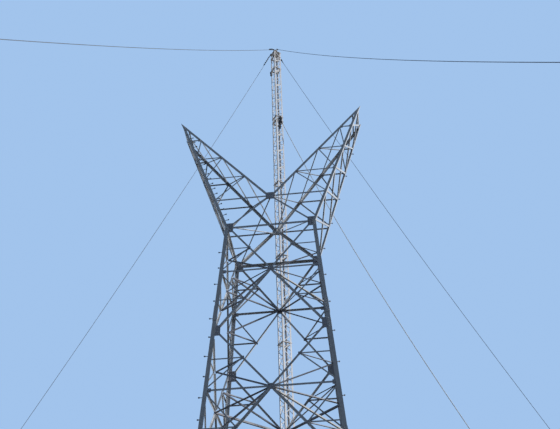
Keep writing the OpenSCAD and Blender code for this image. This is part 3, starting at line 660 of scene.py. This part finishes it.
class MAST_OT_arm_plates(Operator):
    """Joint plates and bolts on the two arms and the crotch between them"""
    bl_idname = "mast.arm_plates"
    bl_label = "Arm joint plates"

    def execute(self, context):
        lip = sizes().plate_lip
        low, high = -CHORD_T - BRACE_T - lip, -CHORD_T + lip
        inset, size = 0.088, (0.084, 0.8 * JOINT_PLATE)
        for side, name in ((-1, "left"), (1, "right")):
            plates, bolts = Shape(), Shape()
            for rear in (False, True):
                m = arm_frame(side, rear)
                for k in (1, 2, 3):
                    h = level(k)
                    for x, way in ((inner_x(h), 1), (outer_x(h), -1)):
                        centre = at(x + way * inset, h)
                        cover(plates, m, centre, size, low, high)
                        plate_bolts(bolts, m, centre, [(0.01 * way, -0.04), (0.01 * way, 0.04)],
                                    high, low)
                        for dy in (-0.045, 0.045):
                            joint_bolt(bolts, moved(m, *at(x + way * 0.055, h + dy)), low)
                for k in (1, 2, 3, 4):
                    h = ARM_RISE - 0.085 * k - 0.06
                    p = at((inner_x(h) + outer_x(h)) / 2, h)
                    joint_bolt(bolts, moved(m, *p), low)
            for outer in (True, False):
                m, stretch, z0, flip = arm_side_frame(side, outer)
                for k in ((0, 1, 2, 3) if outer else (1, 2, 3)):
                    h = level(k)
                    for s in (-1, 1):
                        y = s * (arm_y(h) - inset)
                        centre = Vector((flip * y, (h - z0) * stretch))
                        cover(plates, m, centre, size, low, high)
                        plate_bolts(bolts, m, centre, [(0.0, -0.045), (0.0, 0.045)], high, low)
                        x = flip * s * (arm_y(h) - CHORD_GAUGE)
                        joint_bolt(bolts, moved(m, x, centre[1]), low)
            plates.piece("arm_plates_" + name, MATERIALS["plates"], "tower_steel")
            bolts.piece("arm_bolts_" + name, MATERIALS["tower"], "tower_steel")
        self.crotch(low, high)
        return {"FINISHED"}

    def crotch(self, low, high):
        """Plates between the arms, and those at the feet of the crotch's braces."""
        plates, bolts = Shape(), Shape()
        for rear in (False, True):
            m = arm_frame(1, rear)
            cover(plates, m, at(0, CROTCH), (CROTCH_PLATE, CROTCH_PLATE_H), BRACE_T - 0.001,
                  BRACE_T + 0.002)
            for s in (-1, 1):
                for dx, dy, step_x, step_y in ((0.06, 0.07, 0.035, 0.04),
                                               (0.07, -0.05, 0.04, -0.032)):
                    for k in range(3):
                        p = at(s * (dx + step_x * k), CROTCH + dy + step_y * k)
                        joint_bolt(bolts, moved(m, *p, BRACE_T + 0.002), low - BRACE_T)
                foot = at(s * (WAIST_W / 2 - JOINT_IN), 0.10)
                cover(plates, m, foot, (1.6 * JOINT_PLATE - 0.02, 0.176), low, high)
                plate_bolts(bolts, m, foot, [(-s * 0.09, 0.05), (-s * 0.05, 0.03),
                                             (s * 0.02, -0.03)], high, low)
        plates.piece("crotch_plates", MATERIALS["plates"], "tower_steel")
        bolts.piece("crotch_bolts", MATERIALS["tower"], "tower_steel")


class MAST_OT_inner_stays(Operator):
    """Light stays across the inside of the body, which the solids leave out"""
    bl_idname = "mast.inner_stays"
    bl_label = "Inner stays"

    def execute(self, context):
        # The dull stays and their bolts take the darker inner zinc as painted shade; two low
        # front-right stays take the pale strap zinc as a painted highlight
        dull, painted_light_stays, bolts = Shape(), Shape(), Shape()
        size, corner_size, thick = sizes().stay, 0.04, 0.006
        inside = -LEG_T - BRACE_T - size
        up = Vector((0, 0, 1))

        def bar(p, q, flange=size, standing=up, shape=dull):
            shape.angle(p, q, flange, thick, standing)
            for a, b in ((p, q), (q, p)):
                way = (b - a).normalized()
                m = along_frame(a + way * 0.05, a + way * 0.05 + up)
                bolts.bolt(m, 0.024, 0.01, -2 * thick)

        for top, bottom in PANELS:
            for name in ("front", "rear"):
                face = FACES[name]
                centre = face.world(face.on(0, face.cross(top, bottom)), inside)
                for side_name in ("left", "right"):
                    side = FACES[side_name]
                    mid = side.cross(top, bottom)
                    sign = self.near(side, mid, face)
                    for end in (top, bottom):
                        half_way = (side.on(sign, end) + side.on(0, mid)) / 2
                        tip = side.world(half_way, inside)
                        # These two stays get the pale strap zinc: painted highlight
                        if end == bottom and tip.x > 0 and name == "front":
                            bar(centre, tip, size, self.turned(centre, tip), painted_light_stays)
                        else:
                            bar(tip, centre)
            for end in (top, bottom):
                for name in ("front", "rear"):
                    face = FACES[name]
                    mid = face.cross(top, bottom)
                    for s in (-1, 1):
                        a = face.world((face.on(s, end) + face.on(0, mid)) / 2, inside)
                        side = FACES["left" if a.x < 0 else "right"]
                        side_mid = side.cross(top, bottom)
                        sign = self.near(side, side_mid, face)
                        b = side.world((side.on(sign, end) + side.on(0, side_mid)) / 2, inside)
                        bar(b, a, corner_size)
        # Darker inner zinc here is painted shade; the pale strap zinc on the other two stays is
        # a painted highlight
        dull.piece("inner_stays", MATERIALS["inner"], "tower_steel")
        painted_light_stays.piece("inner_stays_painted_light", MATERIALS["straps"], "tower_steel")
        bolts.piece("inner_stay_bolts", MATERIALS["inner"], "tower_steel")
        return {"FINISHED"}

    def turned(self, p, q):
        """Way of the second flange when the first one looks out, to the side and a bit up."""
        way = (q - p).normalized()
        look = Vector((math.copysign(0.49, q.x), math.copysign(0.81, p.y + GAP), 0.31))
        look = (look - way * look.dot(way)).normalized()
        return look.cross(way)

    def near(self, side, z, face):
        """Which half of a side lies next to the front or the rear face."""
        target = face.world(face.on(0, z)).y
        return min((-1, 1), key=lambda s: abs(side.world(side.on(s, z)).y - target))


class MAST_OT_leg_fittings(Operator):
    """Leg splices, step bolts and feet"""
    bl_idname = "mast.leg_fittings"
    bl_label = "Leg fittings"

    def execute(self, context):
        plates, bolts, steps, dark, feet = Shape(), Shape(), Shape(), Shape(), Shape()
        for face in FACES.values():
            for s in (-1, 1):
                for z in SPLICES:
                    self.splice(plates, bolts, face, s, z)
        self.steps(steps, dark)
        for sx, sy in SIGNS:
            self.foot(feet, bolts, sx, sy)
        plates.piece("leg_splices", MATERIALS["tower"], "tower_steel")
        bolts.piece("leg_bolts", MATERIALS["tower"], "tower_steel")
        steps.piece("step_bolts", MATERIALS["plates"], "tower_steel")
        # The left arm's step bolts take the darker inner zinc: painted shade
        dark.piece("arm_step_bolts_painted_shade", MATERIALS["inner"], "tower_steel")
        feet.piece("leg_feet", MATERIALS["tower"], "tower_steel")
        return {"FINISHED"}

    def splice(self, plates, bolts, face, s, z):
        """Cover plate over a joint in a leg, on one flange, with its bolts."""
        thick, wide, tall = 0.010, LEG - 0.01, 0.62
        rows, pitch, gauge, stagger = 6, 0.1, 0.05, 0.045
        c = face.edge(s, z)
        slope = face.flare / face.slant
        outline = []
        for x, y in ((0.0, -tall / 2), (0.0, tall / 2), (-wide, tall / 2), (-wide, -tall / 2)):
            reach = thick if x == 0.0 else 0.0
            outline.append((c.x + s * (x + reach) - s * slope * y, c.y + y))
        plates.prism(face.matrix, outline, 0.0, thick)
        for row in range(rows):
            y = pitch * row - pitch * (rows - 1) / 2
            x = c.x - s * (gauge + stagger * (row % 2)) - s * slope * y
            joint_bolt(bolts, moved(face.matrix, x, c.y + y, thick), -thick - LEG_T)

    def steps(self, shape, inner):
        """Step bolts up both front legs and up an outer chord of each arm."""
        short, wide_pitch = sizes().step_short, 1.6 * sizes().step_pitch
        for name, z, top, pitch, lengths in (
                ("left", 2.88, WAIST_Z - 0.9, sizes().step_pitch, (short, sizes().step_long)),
                ("right", 2.47, WAIST_Z - 1.2, wide_pitch, (short, short))):
            face, k = FACES[name], 0
            front = self.front_half(face)
            while z < top:
                root = face.edge(front, z) - Vector((front * STEP_GAUGE, 0))
                self.step(shape, moved(face.matrix, *root), lengths[k % 2])
                z += pitch
                k += 1
        top = ARM_RISE - 0.7
        # Left arm: its step bolts go in the darker inner zinc, painted shade
        m, stretch, _, flip = arm_side_frame(-1, True)
        h = 0.36
        while h < top:
            p = (flip * -(arm_y(h) - CHORD_GAUGE), h * stretch)
            self.step(inner, moved(m, *p, -CHORD_T) @ OVER, sizes().step_arm)
            h += sizes().arm_pitch
        m, stretch, _, flip = arm_side_frame(1, True)
        h = 0.5
        while h < top:
            p = (flip * (arm_y(h) - CHORD_GAUGE), h * stretch)
            self.step(shape, moved(m, *p), short)
            h += wide_pitch

    def front_half(self, face):
        return min((-1, 1), key=lambda s: face.world(face.on(s, 5)).y)

    def step(self, shape, m, length):
        """Step bolt: nut and shank along Z, a round knob at its tip, its head behind."""
        knob, shank, nut, nut_h = 0.026, 0.012, 0.018, 0.014
        shape.lathe(m, [(nut, 0), (nut, nut_h), (shank, nut_h), (shank, length - 2 * knob),
                        (knob * 0.9, length - 2 * knob), (knob, length - knob * 0.5),
                        (knob * 0.7, length), (0, length)], 8)
        shape.lathe(m @ OVER, [(nut, LEG_T), (nut, LEG_T + 0.012), (0, LEG_T + 0.012)], 6)

    def foot(self, shape, bolts, sx, sy):
        """Webs and holding-down bolts on a leg's base plate."""
        x = sx * (BASE_W - LEG) / 2
        y = -GAP + sy * (BASE_W - LEG) / 2
        m = Matrix.Translation((x, y, 0))
        for turn in range(4):
            t = m @ Matrix.Rotation(math.radians(90 * turn), 4, "Z")
            stud(bolts, moved(t, 0.19, 0.19, FOOT_T), 0.055, 0.032,
                 [(0.018, 0.03), (0.018, 0.085), (0.012, 0.09), (0, 0.09)])
            upright = moved(t, 0, 0, FOOT_T) @ FORWARD
            shape.prism(upright, [(0.06, 0), (0.235, 0), (0.235, 0.03), (0.1, 0.2), (0.06, 0.2)],
                        -0.006, 0.006)


class MAST_OT_mast_fittings(Operator):
    """Bolts at the mast's joints, its straps, painted highlight strips up one chord, and its
    head and foot
    """
    bl_idname = "mast.mast_fittings"
    bl_label = "Mast fittings"

    def execute(self, context):
        bolts, straps, highlight_strips, head = Shape(), Shape(), Shape(), Shape()
        edge = MAST_W / 2
        for k in range(SECTIONS + 1):
            z = FOOT_H + k * SECTION_H
            for turn in (0, 90, 180, 270):
                m = mast_face(turn)
                for x in (-0.155, -0.06, 0.06, 0.155):
                    outer = abs(x) > 0.1
                    t = moved(m, x, z + FRAME_T, FRAME_LIP / 2 if outer else -0.03) @ BACK
                    bolts.bolt(t, 0.017 if outer else 0.027, 0.010, -2 * FRAME_T)
        m = mast_face(0)
        for z, rise in STRAPS:
            p, q = Vector((-edge + 0.01, z - rise / 2)), Vector((edge / 2, z + rise / 3))
            way = (q - p).normalized()
            n = Vector((-way.y, way.x)) * 0.036
            straps.prism(m, [tuple(p - n), tuple(q - n), tuple(q + n), tuple(p + n)],
                         0.0, 0.006)
            for end in (p + way * 0.035, q - way * 0.035):
                bolts.bolt(moved(m, *end, 0.006), 0.024, 0.01, -0.02)
        self.highlight_strips(highlight_strips)
        self.head(head, bolts)
        self.foot(bolts)
        bolts.piece("mast_bolts", MATERIALS["mast"], "mast_steel")
        straps.piece("mast_straps", MATERIALS["straps"], "mast_steel")
        # Pale strap zinc on these strips: a painted highlight
        highlight_strips.piece("mast_painted_highlights", MATERIALS["straps"], "mast_steel")
        head.piece("mast_head_fittings", MATERIALS["dark"], "dark_fitting")
        return {"FINISHED"}

    def highlight_strips(self, shape):
        """Bright strips up the left-hand chord, a painted highlight, with dark gaps between."""
        tall, thick, pitch, z = 0.34, 0.005, 0.62, 19.0
        while z < CAP_Z - 0.5:
            for turn, end in ((270, -1), (180, 1)):
                m = mast_face(turn)
                x = end * (MAST_W / 2 - POST / 2)
                shape.box(m, (POST + 0.004, tall, thick), (x, z, thick / 2))
            z += pitch

    def head(self, shape, bolts):
        """Clamp round the head post, and the bolts of its flange and of the cap."""
        top, flange_r, flange_z = CAP_Z + CAP_T, 0.066, 0.342
        shape.lathe(Matrix.Translation((0, 0, top)),
                    [(0.057, 0.05), (0.075, 0.05), (0.075, 0.12), (0.057, 0.12)], 24, True)
        for k in range(8):
            a = math.radians(45 * k + 22.5)
            t = Matrix.Translation((flange_r * math.cos(a), flange_r * math.sin(a),
                                    top + flange_z))
            bolts.bolt(t, 0.024, 0.012, -0.024)
        for turn in (0, 90, 180, 270):
            m = mast_face(turn)
            for x in (-0.17, 0.17):
                bolts.bolt(moved(m, x, top, -0.02) @ BACK, 0.03, 0.014, -0.03)

    def foot(self, shape):
        """Holding-down bolts of the mast's base plate."""
        turn = Matrix.Rotation(math.radians(MAST_TURN), 4, "Z")
        for sx, sy in SIGNS:
            stud(shape, moved(turn, sx * 0.265, sy * 0.265, MAST_PLATE_T), 0.05, 0.03,
                 [(0.016, 0.028), (0.016, 0.08), (0, 0.08)])


class Rope:
    """A rope's line as the solids have it: straight at both ends and an arc between."""

    def __init__(self, p, q, sag):
        self.p, self.q = p, q
        length = (q - p).length
        self.end = FORK_L + BUCKLE_L
        self.dip = 2 * math.atan(sag / (length / 2 + self.end))
        self.radius = (length / 2 - self.end * math.cos(self.dip)) / math.sin(self.dip)
        self.length = length
        self.frame = along_frame(p, q)

    def upper(self):
        """Frame at the upper eye, with Z down the rope."""
        return self.frame @ Matrix.Rotation(self.dip, 4, "X")

    def lower(self):
        """Frame at the lower eye, with Z up the rope."""
        turn = Matrix.Rotation(math.pi, 4, "Y") @ Matrix.Rotation(self.dip, 4, "X")
        return self.frame @ Matrix.Translation((0, 0, self.length)) @ turn

    def path(self, step, before=0.0, after=0.0):
        """Points along the arc, with a straight lead before and after it."""
        a, r = self.dip, self.radius
        centre = Vector((0, r * math.cos(a) - self.end * math.sin(a), self.length / 2))
        count = max(8, round(2 * a * r / step))
        points = []
        for k in range(count + 1):
            t = -a + 2 * a * k / count
            points.append(self.frame @ (centre + Vector((0, -r * math.cos(t), r * math.sin(t)))))
        lead = []
        if before:
            steps = max(1, round(before / step))
            lead = [self.upper() @ Vector((0, 0, self.end - before * (1 - k / steps)))
                    for k in range(steps)]
        tail = []
        if after:
            steps = max(1, round(after / step))
            tail = [self.lower() @ Vector((0, 0, self.end - after * (k + 1) / steps))
                    for k in range(steps)]
        return lead + points + tail


def strands(shape, path, diameter, lay):
    """Six-strand rope along a path: a lobed tube that turns as it goes."""
    sides, lobes = 12, 6
    points, rings = [], []
    side = (path[1] - path[0]).normalized().cross(Vector((0, 0, 1))).normalized()
    turn = 0.0
    for i, p in enumerate(path):
        a, b = path[max(i - 1, 0)], path[min(i + 1, len(path) - 1)]
        way = (b - a).normalized()
        side = (side - way * side.dot(way)).normalized()
        up = way.cross(side)
        if i:
            turn += 2 * math.pi * (p - path[i - 1]).length / (lay * diameter)
        rings.append(len(points))
        for k in range(sides):
            t = 2 * math.pi * k / sides
            r = diameter / 2 * (1.0 if k % (sides // lobes) == 0 else 0.84)
            points.append(p + (side * math.cos(t + turn) + up * math.sin(t + turn)) * r)
    ends = [tuple(reversed(range(sides))), tuple(range(rings[-1], rings[-1] + sides))]
    shape.add(points, hoops(rings, sides) + ends, True)


def fork(shape, m):
    """Fork over an eye plate, with its pin and a washer."""
    half = 0.03
    inner = EYE_T / 2 + 0.0006
    outer = inner + 0.012
    pin = m @ ACROSS
    outline = [(-FORK_L, -half)]
    for k in range(9):
        t = -math.pi / 2 + math.pi * k / 8
        outline.append((half * math.cos(t), half * math.sin(t)))
    outline.append((-FORK_L, half))
    for s in (-1, 1):
        shape.prism(pin, outline, *either_side(s, inner, outer))
    shape.box(m, (2 * outer, 2 * half, 0.04), (0, 0, FORK_L - 0.02), 0.006)
    shape.lathe(pin, [(0, -outer - 0.022), (0.02, -outer - 0.022), (0.02, -outer - 0.006),
                      (0.012, -outer - 0.006), (0.012, outer + 0.018), (0, outer + 0.018)], 16)
    shape.lathe(pin, [(0.013, outer), (0.021, outer), (0.021, outer + 0.004),
                      (0.013, outer + 0.004)], 16)


def turnbuckle(shape, m):
    """Open turnbuckle from the fork's end: body, two screws and their lock nuts."""
    body = 0.62
    start = FORK_L + (BUCKLE_L - body) / 2
    for t in (moved(m, 0, 0, start), moved(m, 0, 0, start + body) @ OVER):
        shape.lathe(t, [(0.0, 0.0), (0.026, 0.0), (0.040, 0.012), (0.042, 0.04), (0.036, 0.062),
                        (0.014, 0.066)], 20, True)
        shape.lathe(t, [(0.015, -0.022), (0.026, -0.022), (0.026, -0.002), (0.015, -0.002)], 6)
    for s in (-1, 1):
        path = [m @ Vector((s * 0.034, 0, start + 0.03 + (body - 0.06) * k / 6))
                for k in range(7)]
        shape.tube(path, 0.010, 10)
    for low, high in ((FORK_L - 0.02, start + 0.16),
                      (start + body - 0.16, FORK_L + BUCKLE_L + 0.02)):
        profile, z, k = [(0, low)], low, 0
        while z < high:
            profile.append((0.0145 if k % 2 else 0.0125, z))
            z += 0.006
            k += 1
        profile.append((0, high))
        shape.lathe(m, profile, 12)


def clamp(shape, m, spread):
    """Wire rope clip over two ropes: saddle, bow and two nuts."""
    wire_r = 0.006
    out = spread / 2 + wire_r
    shape.box(m, (spread + 0.03, 0.024, 0.045), (0, -0.018, 0), 0.004)
    bow = [m @ Vector((out, -0.045, 0))]
    for k in range(9):
        t = math.pi * k / 8
        bow.append(m @ Vector((out * math.cos(t), 0.016 * math.sin(t) + 0.004, 0)))
    bow.append(m @ Vector((-out, -0.045, 0)))
    shape.tube(bow, wire_r)
    for s in (-1, 1):
        t = moved(m, s * out, -0.030, 0) @ FORWARD
        shape.lathe(t, [(0, 0), (0.011, 0), (0.011, 0.01), (0, 0.01)], 6)


# For each guy: its anchor's bearing and run, and its eye's reach and height on the mast
ROPES = {
    "front_left": (251.0, 31.0, (CORNER - 0.010, CAP_Z + CAP_T + 0.10)),
    "front_right": (296.0, 28.0, (CORNER - 0.010, CAP_Z + CAP_T + 0.10)),
    "rear_left": (168.5, 20.5, (CORNER - 0.010, CAP_Z + CAP_T + 0.10)),
    "rear_right": (19.5, 18.5, (CORNER + 0.025, CAP_Z - 0.42)),
}
TACKLE_BEARING, TACKLE_RUN, GUY_SAG, LINE_SAG = 17.5, 14.5, 0.50, 0.93
TACKLE_ROOT = spot(MAST_TURN - 135, CORNER - 0.015, 0.0)
TACKLE_P = spot(TACKLE_BEARING, 0.215, FOOT_H + 6 * SECTION_H + 0.28, TACKLE_ROOT)
BLOCK_L = FORK_L + SHEAVE_D + TAIL_L
TAIL_P = TACKLE_P + spot(TACKLE_BEARING, BLOCK_L * math.sin(math.radians(HANG)),
                         -BLOCK_L * math.cos(math.radians(HANG)))
TACKLE_Q = spot(TACKLE_BEARING, TACKLE_RUN, ANCHOR_EYE_Z, TACKLE_ROOT)


class MAST_OT_guys(Operator):
    """The four guys, from end to end, with their fittings"""
    bl_idname = "mast.guys"
    bl_label = "Guys"

    def execute(self, context):
        for name, (bearing, run, (out, z)) in ROPES.items():
            rope = Rope(spot(bearing, out, z), spot(bearing, run, ANCHOR_EYE_Z), GUY_SAG)
            lines, metal = Shape(), Shape()
            strands(lines, rope.path(0.045, before=0.72, after=0.05), GUY_D, sizes().lay)
            top = rope.upper()
            fork(metal, top)
            if name.endswith("left"):
                self.doubled(lines, metal, top)
            else:
                metal.lathe(top, [(0, FORK_L - 0.012), (0.021, FORK_L - 0.012),
                                  (0.023, FORK_L + 0.07), (0.014, FORK_L + 0.2),
                                  (0.012, FORK_L + 0.2)], 20, True)
            low = rope.lower()
            fork(metal, low)
            turnbuckle(metal, low)
            metal.lathe(low, [(0, rope.end - 0.012), (0.021, rope.end - 0.012),
                              (0.023, rope.end + 0.01), (0.023, rope.end + 0.07),
                              (0.015, rope.end + SOCKET_L), (0.012, rope.end + SOCKET_L)],
                        20, True)
            lines.piece("rope_" + name, MATERIALS["guys"], "guy_rope", ("guy_" + name,))
            metal.piece("rope_ends_" + name, MATERIALS["dark"], "dark_fitting")
        return {"FINISHED"}

    def doubled(self, lines, metal, top):
        """Upper end turned back on itself under five clamps."""
        back = [top @ Vector((0.0, 0.027, FORK_L + 0.06 + 0.05 * k)) for k in range(17)]
        loop = [top @ Vector((0, -0.002 + 0.0145 * (1 - math.cos(t)),
                              FORK_L + 0.05 - 0.055 * math.sin(t)))
                for t in (0.0, 0.5, 1.0, 1.57, 2.1, 2.6, 3.0)]
        strands(lines, loop + back, GUY_D, sizes().lay)
        for k in range(5):
            t = moved(top, 0, 0.0135, FORK_L + 0.16 + 0.15 * k)
            clamp(metal, t @ Matrix.Rotation(math.pi / 2, 4, "Z"), 0.052)


def block(shape, m, sheave_d, thick, tail):
    """Rope block: two cheeks with straps, a grooved sheave, its axle and a tail plate."""
    r = sheave_d / 2
    middle = FORK_L + r - 0.012
    centre = moved(m, 0, 0, middle) @ ACROSS
    h = thick / 2
    shape.lathe(centre, [(0.012, -h), (r - 0.002, -h), (r, -h + 0.004), (r * 0.82, -h * 0.3),
                         (r * 0.78, 0), (r * 0.82, h * 0.3), (r, h - 0.004), (r - 0.002, h),
                         (0.012, h)], 32, True)
    cheek = []
    for k in range(24):
        t = 2 * math.pi * k / 24
        cheek.append(((r + 0.014) * math.cos(t), (r + 0.014) * math.sin(t)))
    strap = [(-(middle - FORK_L + 0.02), -0.022), (tail - middle + 0.02, -0.022),
             (tail - middle + 0.02, 0.022), (-(middle - FORK_L + 0.02), 0.022)]
    for s in (-1, 1):
        shape.prism(centre, cheek, *either_side(s, h + 0.001, h + 0.009))
        shape.prism(centre @ Matrix.Rotation(math.pi, 4, "Z"), strap,
                    *either_side(s, h + 0.009, h + 0.017))
    shape.lathe(centre, [(0, -h - 0.03), (0.022, -h - 0.03), (0.022, -h - 0.017),
                         (0.012, -h - 0.017), (0.012, h + 0.017), (0.022, h + 0.017),
                         (0.022, h + 0.03), (0, h + 0.03)], 12)
    return middle


class MAST_OT_tackle(Operator):
    """The tackle, its line, and the two small blocks that hang beside the mast"""
    bl_idname = "mast.tackle"
    bl_label = "Tackle"

    def execute(self, context):
        metal = Shape()
        m = along_frame(TACKLE_P, TAIL_P)
        fork(metal, m)
        block(metal, m, SHEAVE_D, 0.048, BLOCK_L)
        metal.box(m, (EYE_T, 0.09, 0.15), (0, 0, BLOCK_L - 0.03), 0.004)
        metal.piece("tackle", MATERIALS["dark"], "dark_fitting", ("tackle_block",))
        rope = Rope(TAIL_P, TACKLE_Q, LINE_SAG)
        lines, ends = Shape(), Shape()
        strands(lines, rope.path(0.06, before=0.74, after=0.05), LINE_D, sizes().lay)
        fork(ends, rope.upper())
        fork(ends, rope.lower())
        turnbuckle(ends, rope.lower())
        for t, start in ((rope.upper(), FORK_L), (rope.lower(), rope.end)):
            ends.lathe(t, [(0, start - 0.012), (0.025, start - 0.012), (0.027, start + 0.07),
                           (0.019, start + SOCKET_L), (0.017, start + SOCKET_L)], 20, True)
        lines.piece("tackle_rope", MATERIALS["line"], "bright_rope", ("tackle_line",))
        ends.piece("tackle_rope_ends", MATERIALS["dark"], "dark_fitting")
        small = Shape()
        out = MAST_W / math.sqrt(2) + FRAME_LIP
        self.hanging(small, spot(MAST_TURN + 135, out, HEAD_Z - 0.03), 0.09, 0.36)
        self.hanging(small, spot(MAST_TURN - 90, MAST_W / 2 + FRAME_LIP, 29.04), 0.10, 0.62)
        small.piece("small_blocks", MATERIALS["dark"], "dark_fitting")
        return {"FINISHED"}

    def hanging(self, shape, p, sheave_d, length):
        """Small block hung by a link, with a closed tail."""
        m = along_frame(p, p + Vector((0.0001, 0, -1)))
        shape.tube([m @ Vector((0.02 * math.cos(t), 0, 0.04 - 0.045 * math.sin(t)))
                    for t in [math.pi * k / 10 for k in range(11)]], 0.007)
        drop = -FORK_L + 0.06
        low = drop + block(shape, moved(m, 0, 0, drop), sheave_d, 0.036, FORK_L + sheave_d)
        shape.box(m, (0.06, 0.085, length - low - 0.02), (0, 0, low + (length - low) / 2), 0.012)


class MAST_OT_anchors(Operator):
    """Holding-down bolts on the anchors"""
    bl_idname = "mast.anchors"
    bl_label = "Anchors"

    def execute(self, context):
        shape = Shape()
        places = [(b, run, (0, 0, 0)) for b, run, _ in ROPES.values()]
        places.append((TACKLE_BEARING, TACKLE_RUN, TACKLE_ROOT))
        for bearing, run, root in places:
            m = Matrix.Translation(spot(bearing, run, 0, root))
            m = m @ Matrix.Rotation(math.radians(bearing), 4, "Z")
            for sx, sy in SIGNS:
                stud(shape, moved(m, sx * 0.29, sy * 0.155, ANCHOR_T), 0.046, 0.026,
                     [(0.015, 0.02), (0.015, 0.07), (0, 0.07)])
        shape.piece("anchor_bolts", MATERIALS["anchors"], "anchor_steel")
        return {"FINISHED"}


class MAST_OT_stage(Operator):
    """Floor, light, backdrop and camera"""
    bl_idname = "mast.stage"
    bl_label = "Stage"

    def execute(self, context):
        self.floor()
        self.world()
        self.sun()
        self.camera()
        context.scene.view_settings.view_transform = "Standard"
        return {"FINISHED"}

    def floor(self):
        """A round floor, pale to the camera and dull to other rays, with its shadow."""
        sides, radius, level_z = 96, 320.0, -0.002
        mesh = bpy.data.meshes.new("floor")
        ring = [(radius * math.cos(2 * math.pi * k / sides),
                 radius * math.sin(2 * math.pi * k / sides), level_z) for k in range(sides)]
        mesh.from_pydata(ring, [], [tuple(range(sides))])
        material = bpy.data.materials.new("Floor")
        material.use_nodes = True
        tree = material.node_tree
        tree.nodes.remove(tree.nodes["Principled BSDF"])
        base = Sock(tree)
        camera = base.node("ShaderNodeLightPath")
        dull = base.node("ShaderNodeBsdfDiffuse", {}, {"Color": (0.16, 0.16, 0.15, 1)})
        lit = base.node("ShaderNodeBsdfDiffuse", {}, {"Color": (0.80, 0.80, 0.80, 1)})
        glow = base.node("ShaderNodeEmission", {}, {"Color": (0.90, 0.93, 0.97, 1),
                                                    "Strength": 0.42})
        pale = base.node("ShaderNodeAddShader", {}, {0: lit, 1: glow})
        both = base.node("ShaderNodeMixShader", {}, {0: camera, 1: dull, 2: pale})
        tree.links.new(both.socket, tree.nodes["Material Output"].inputs["Surface"])
        mesh.materials.append(material)
        obj = bpy.data.objects.new("floor", mesh)
        bpy.context.scene.collection.objects.link(obj)

    def world(self):
        """The backdrop for camera, glossy and clear rays, and a faint sky for the rest."""
        world = bpy.data.worlds.new("Backdrop")
        bpy.context.scene.world = world
        world.use_nodes = True
        tree = world.node_tree
        tree.nodes.clear()
        base = Sock(tree)
        camera = base.node("ShaderNodeLightPath")
        glossy = base.node("ShaderNodeLightPath", out=3)
        clear = base.node("ShaderNodeLightPath", out=6)
        seen = base.sum("MAXIMUM", base.sum("MAXIMUM", camera, glossy), clear)
        light = base.node("ShaderNodeBackground", {}, {
            "Color": (0.86, 0.93, 1.0, 1), "Strength": looks().sky})
        back = base.node("ShaderNodeBackground", {}, {
            "Color": rgba(tuple(looks().backdrop)), "Strength": 1.0})
        both = base.node("ShaderNodeMixShader", {}, {0: seen, 1: light, 2: back})
        out = tree.nodes.new("ShaderNodeOutputWorld")
        tree.links.new(both.socket, out.inputs["Surface"])

    def sun(self):
        lamp = bpy.data.lights.new("Sun", "SUN")
        lamp.energy = looks().sun
        lamp.angle = math.radians(3)
        lamp.color = (1.0, 0.975, 0.94)
        obj = bpy.data.objects.new("Sun", lamp)
        b, h = looks().sun_bearing, looks().sun_height
        towards = Vector((math.cos(b) * math.cos(h), math.sin(b) * math.cos(h), math.sin(h)))
        obj.rotation_euler = towards.to_track_quat("Z", "Y").to_euler()
        bpy.context.scene.collection.objects.link(obj)

    def camera(self):
        """The photograph's eye: 1.6 m above the ground, looking steeply up."""
        eye = Vector((2.251, -25.071, 1.593))
        yaw, pitch, roll = -0.0908, 0.6973, -0.0307
        focal_px, photo_width_px, sensor = 690.15, 560, 36.0
        data = bpy.data.cameras.new("Camera")
        data.sensor_width = sensor
        data.lens = focal_px / photo_width_px * sensor
        data.clip_end = 1000.0
        ahead = Vector((math.sin(yaw) * math.cos(pitch), math.cos(yaw) * math.cos(pitch),
                        math.sin(pitch)))
        right = Vector((math.cos(yaw), -math.sin(yaw), 0))
        up = right.cross(ahead)
        x = right * math.cos(roll) + up * math.sin(roll)
        y = up * math.cos(roll) - right * math.sin(roll)
        obj = bpy.data.objects.new("Camera", data)
        obj.matrix_world = frame_of(x, y, -ahead, eye)
        bpy.context.scene.collection.objects.link(obj)
        bpy.context.scene.camera = obj


OPERATORS = (MAST_OT_stage, MAST_OT_finishes, MAST_OT_body_plates, MAST_OT_arm_plates,
             MAST_OT_inner_stays, MAST_OT_leg_fittings, MAST_OT_mast_fittings, MAST_OT_guys,
             MAST_OT_tackle, MAST_OT_anchors)


class MAST_PT_panel(Panel):
    """Lists the pieces and their sizes"""
    bl_idname = "MAST_PT_panel"
    bl_label = "Guyed mast"
    bl_space_type = "VIEW_3D"
    bl_region_type = "UI"
    bl_category = "Mast"

    def draw(self, context):
        for group in (context.scene.mast_sizes, context.scene.mast_looks):
            box = self.layout.box()
            for key in group.__annotations__:
                box.prop(group, key)
        for operator in OPERATORS:
            self.layout.operator(operator.bl_idname)


CLASSES = (MastLooks, MastSizes) + OPERATORS + (MAST_PT_panel,)


def register():
    for cls in CLASSES:
        bpy.utils.register_class(cls)
    bpy.types.Scene.mast_looks = PointerProperty(type=MastLooks)
    bpy.types.Scene.mast_sizes = PointerProperty(type=MastSizes)


def unregister():
    del bpy.types.Scene.mast_sizes
    del bpy.types.Scene.mast_looks
    for cls in reversed(CLASSES):
        bpy.utils.unregister_class(cls)


def main():
    register()
    for operator in OPERATORS:
        group, name = operator.bl_idname.split(".")
        getattr(getattr(bpy.ops, group), name)()


if __name__ == "__main__":
    main()
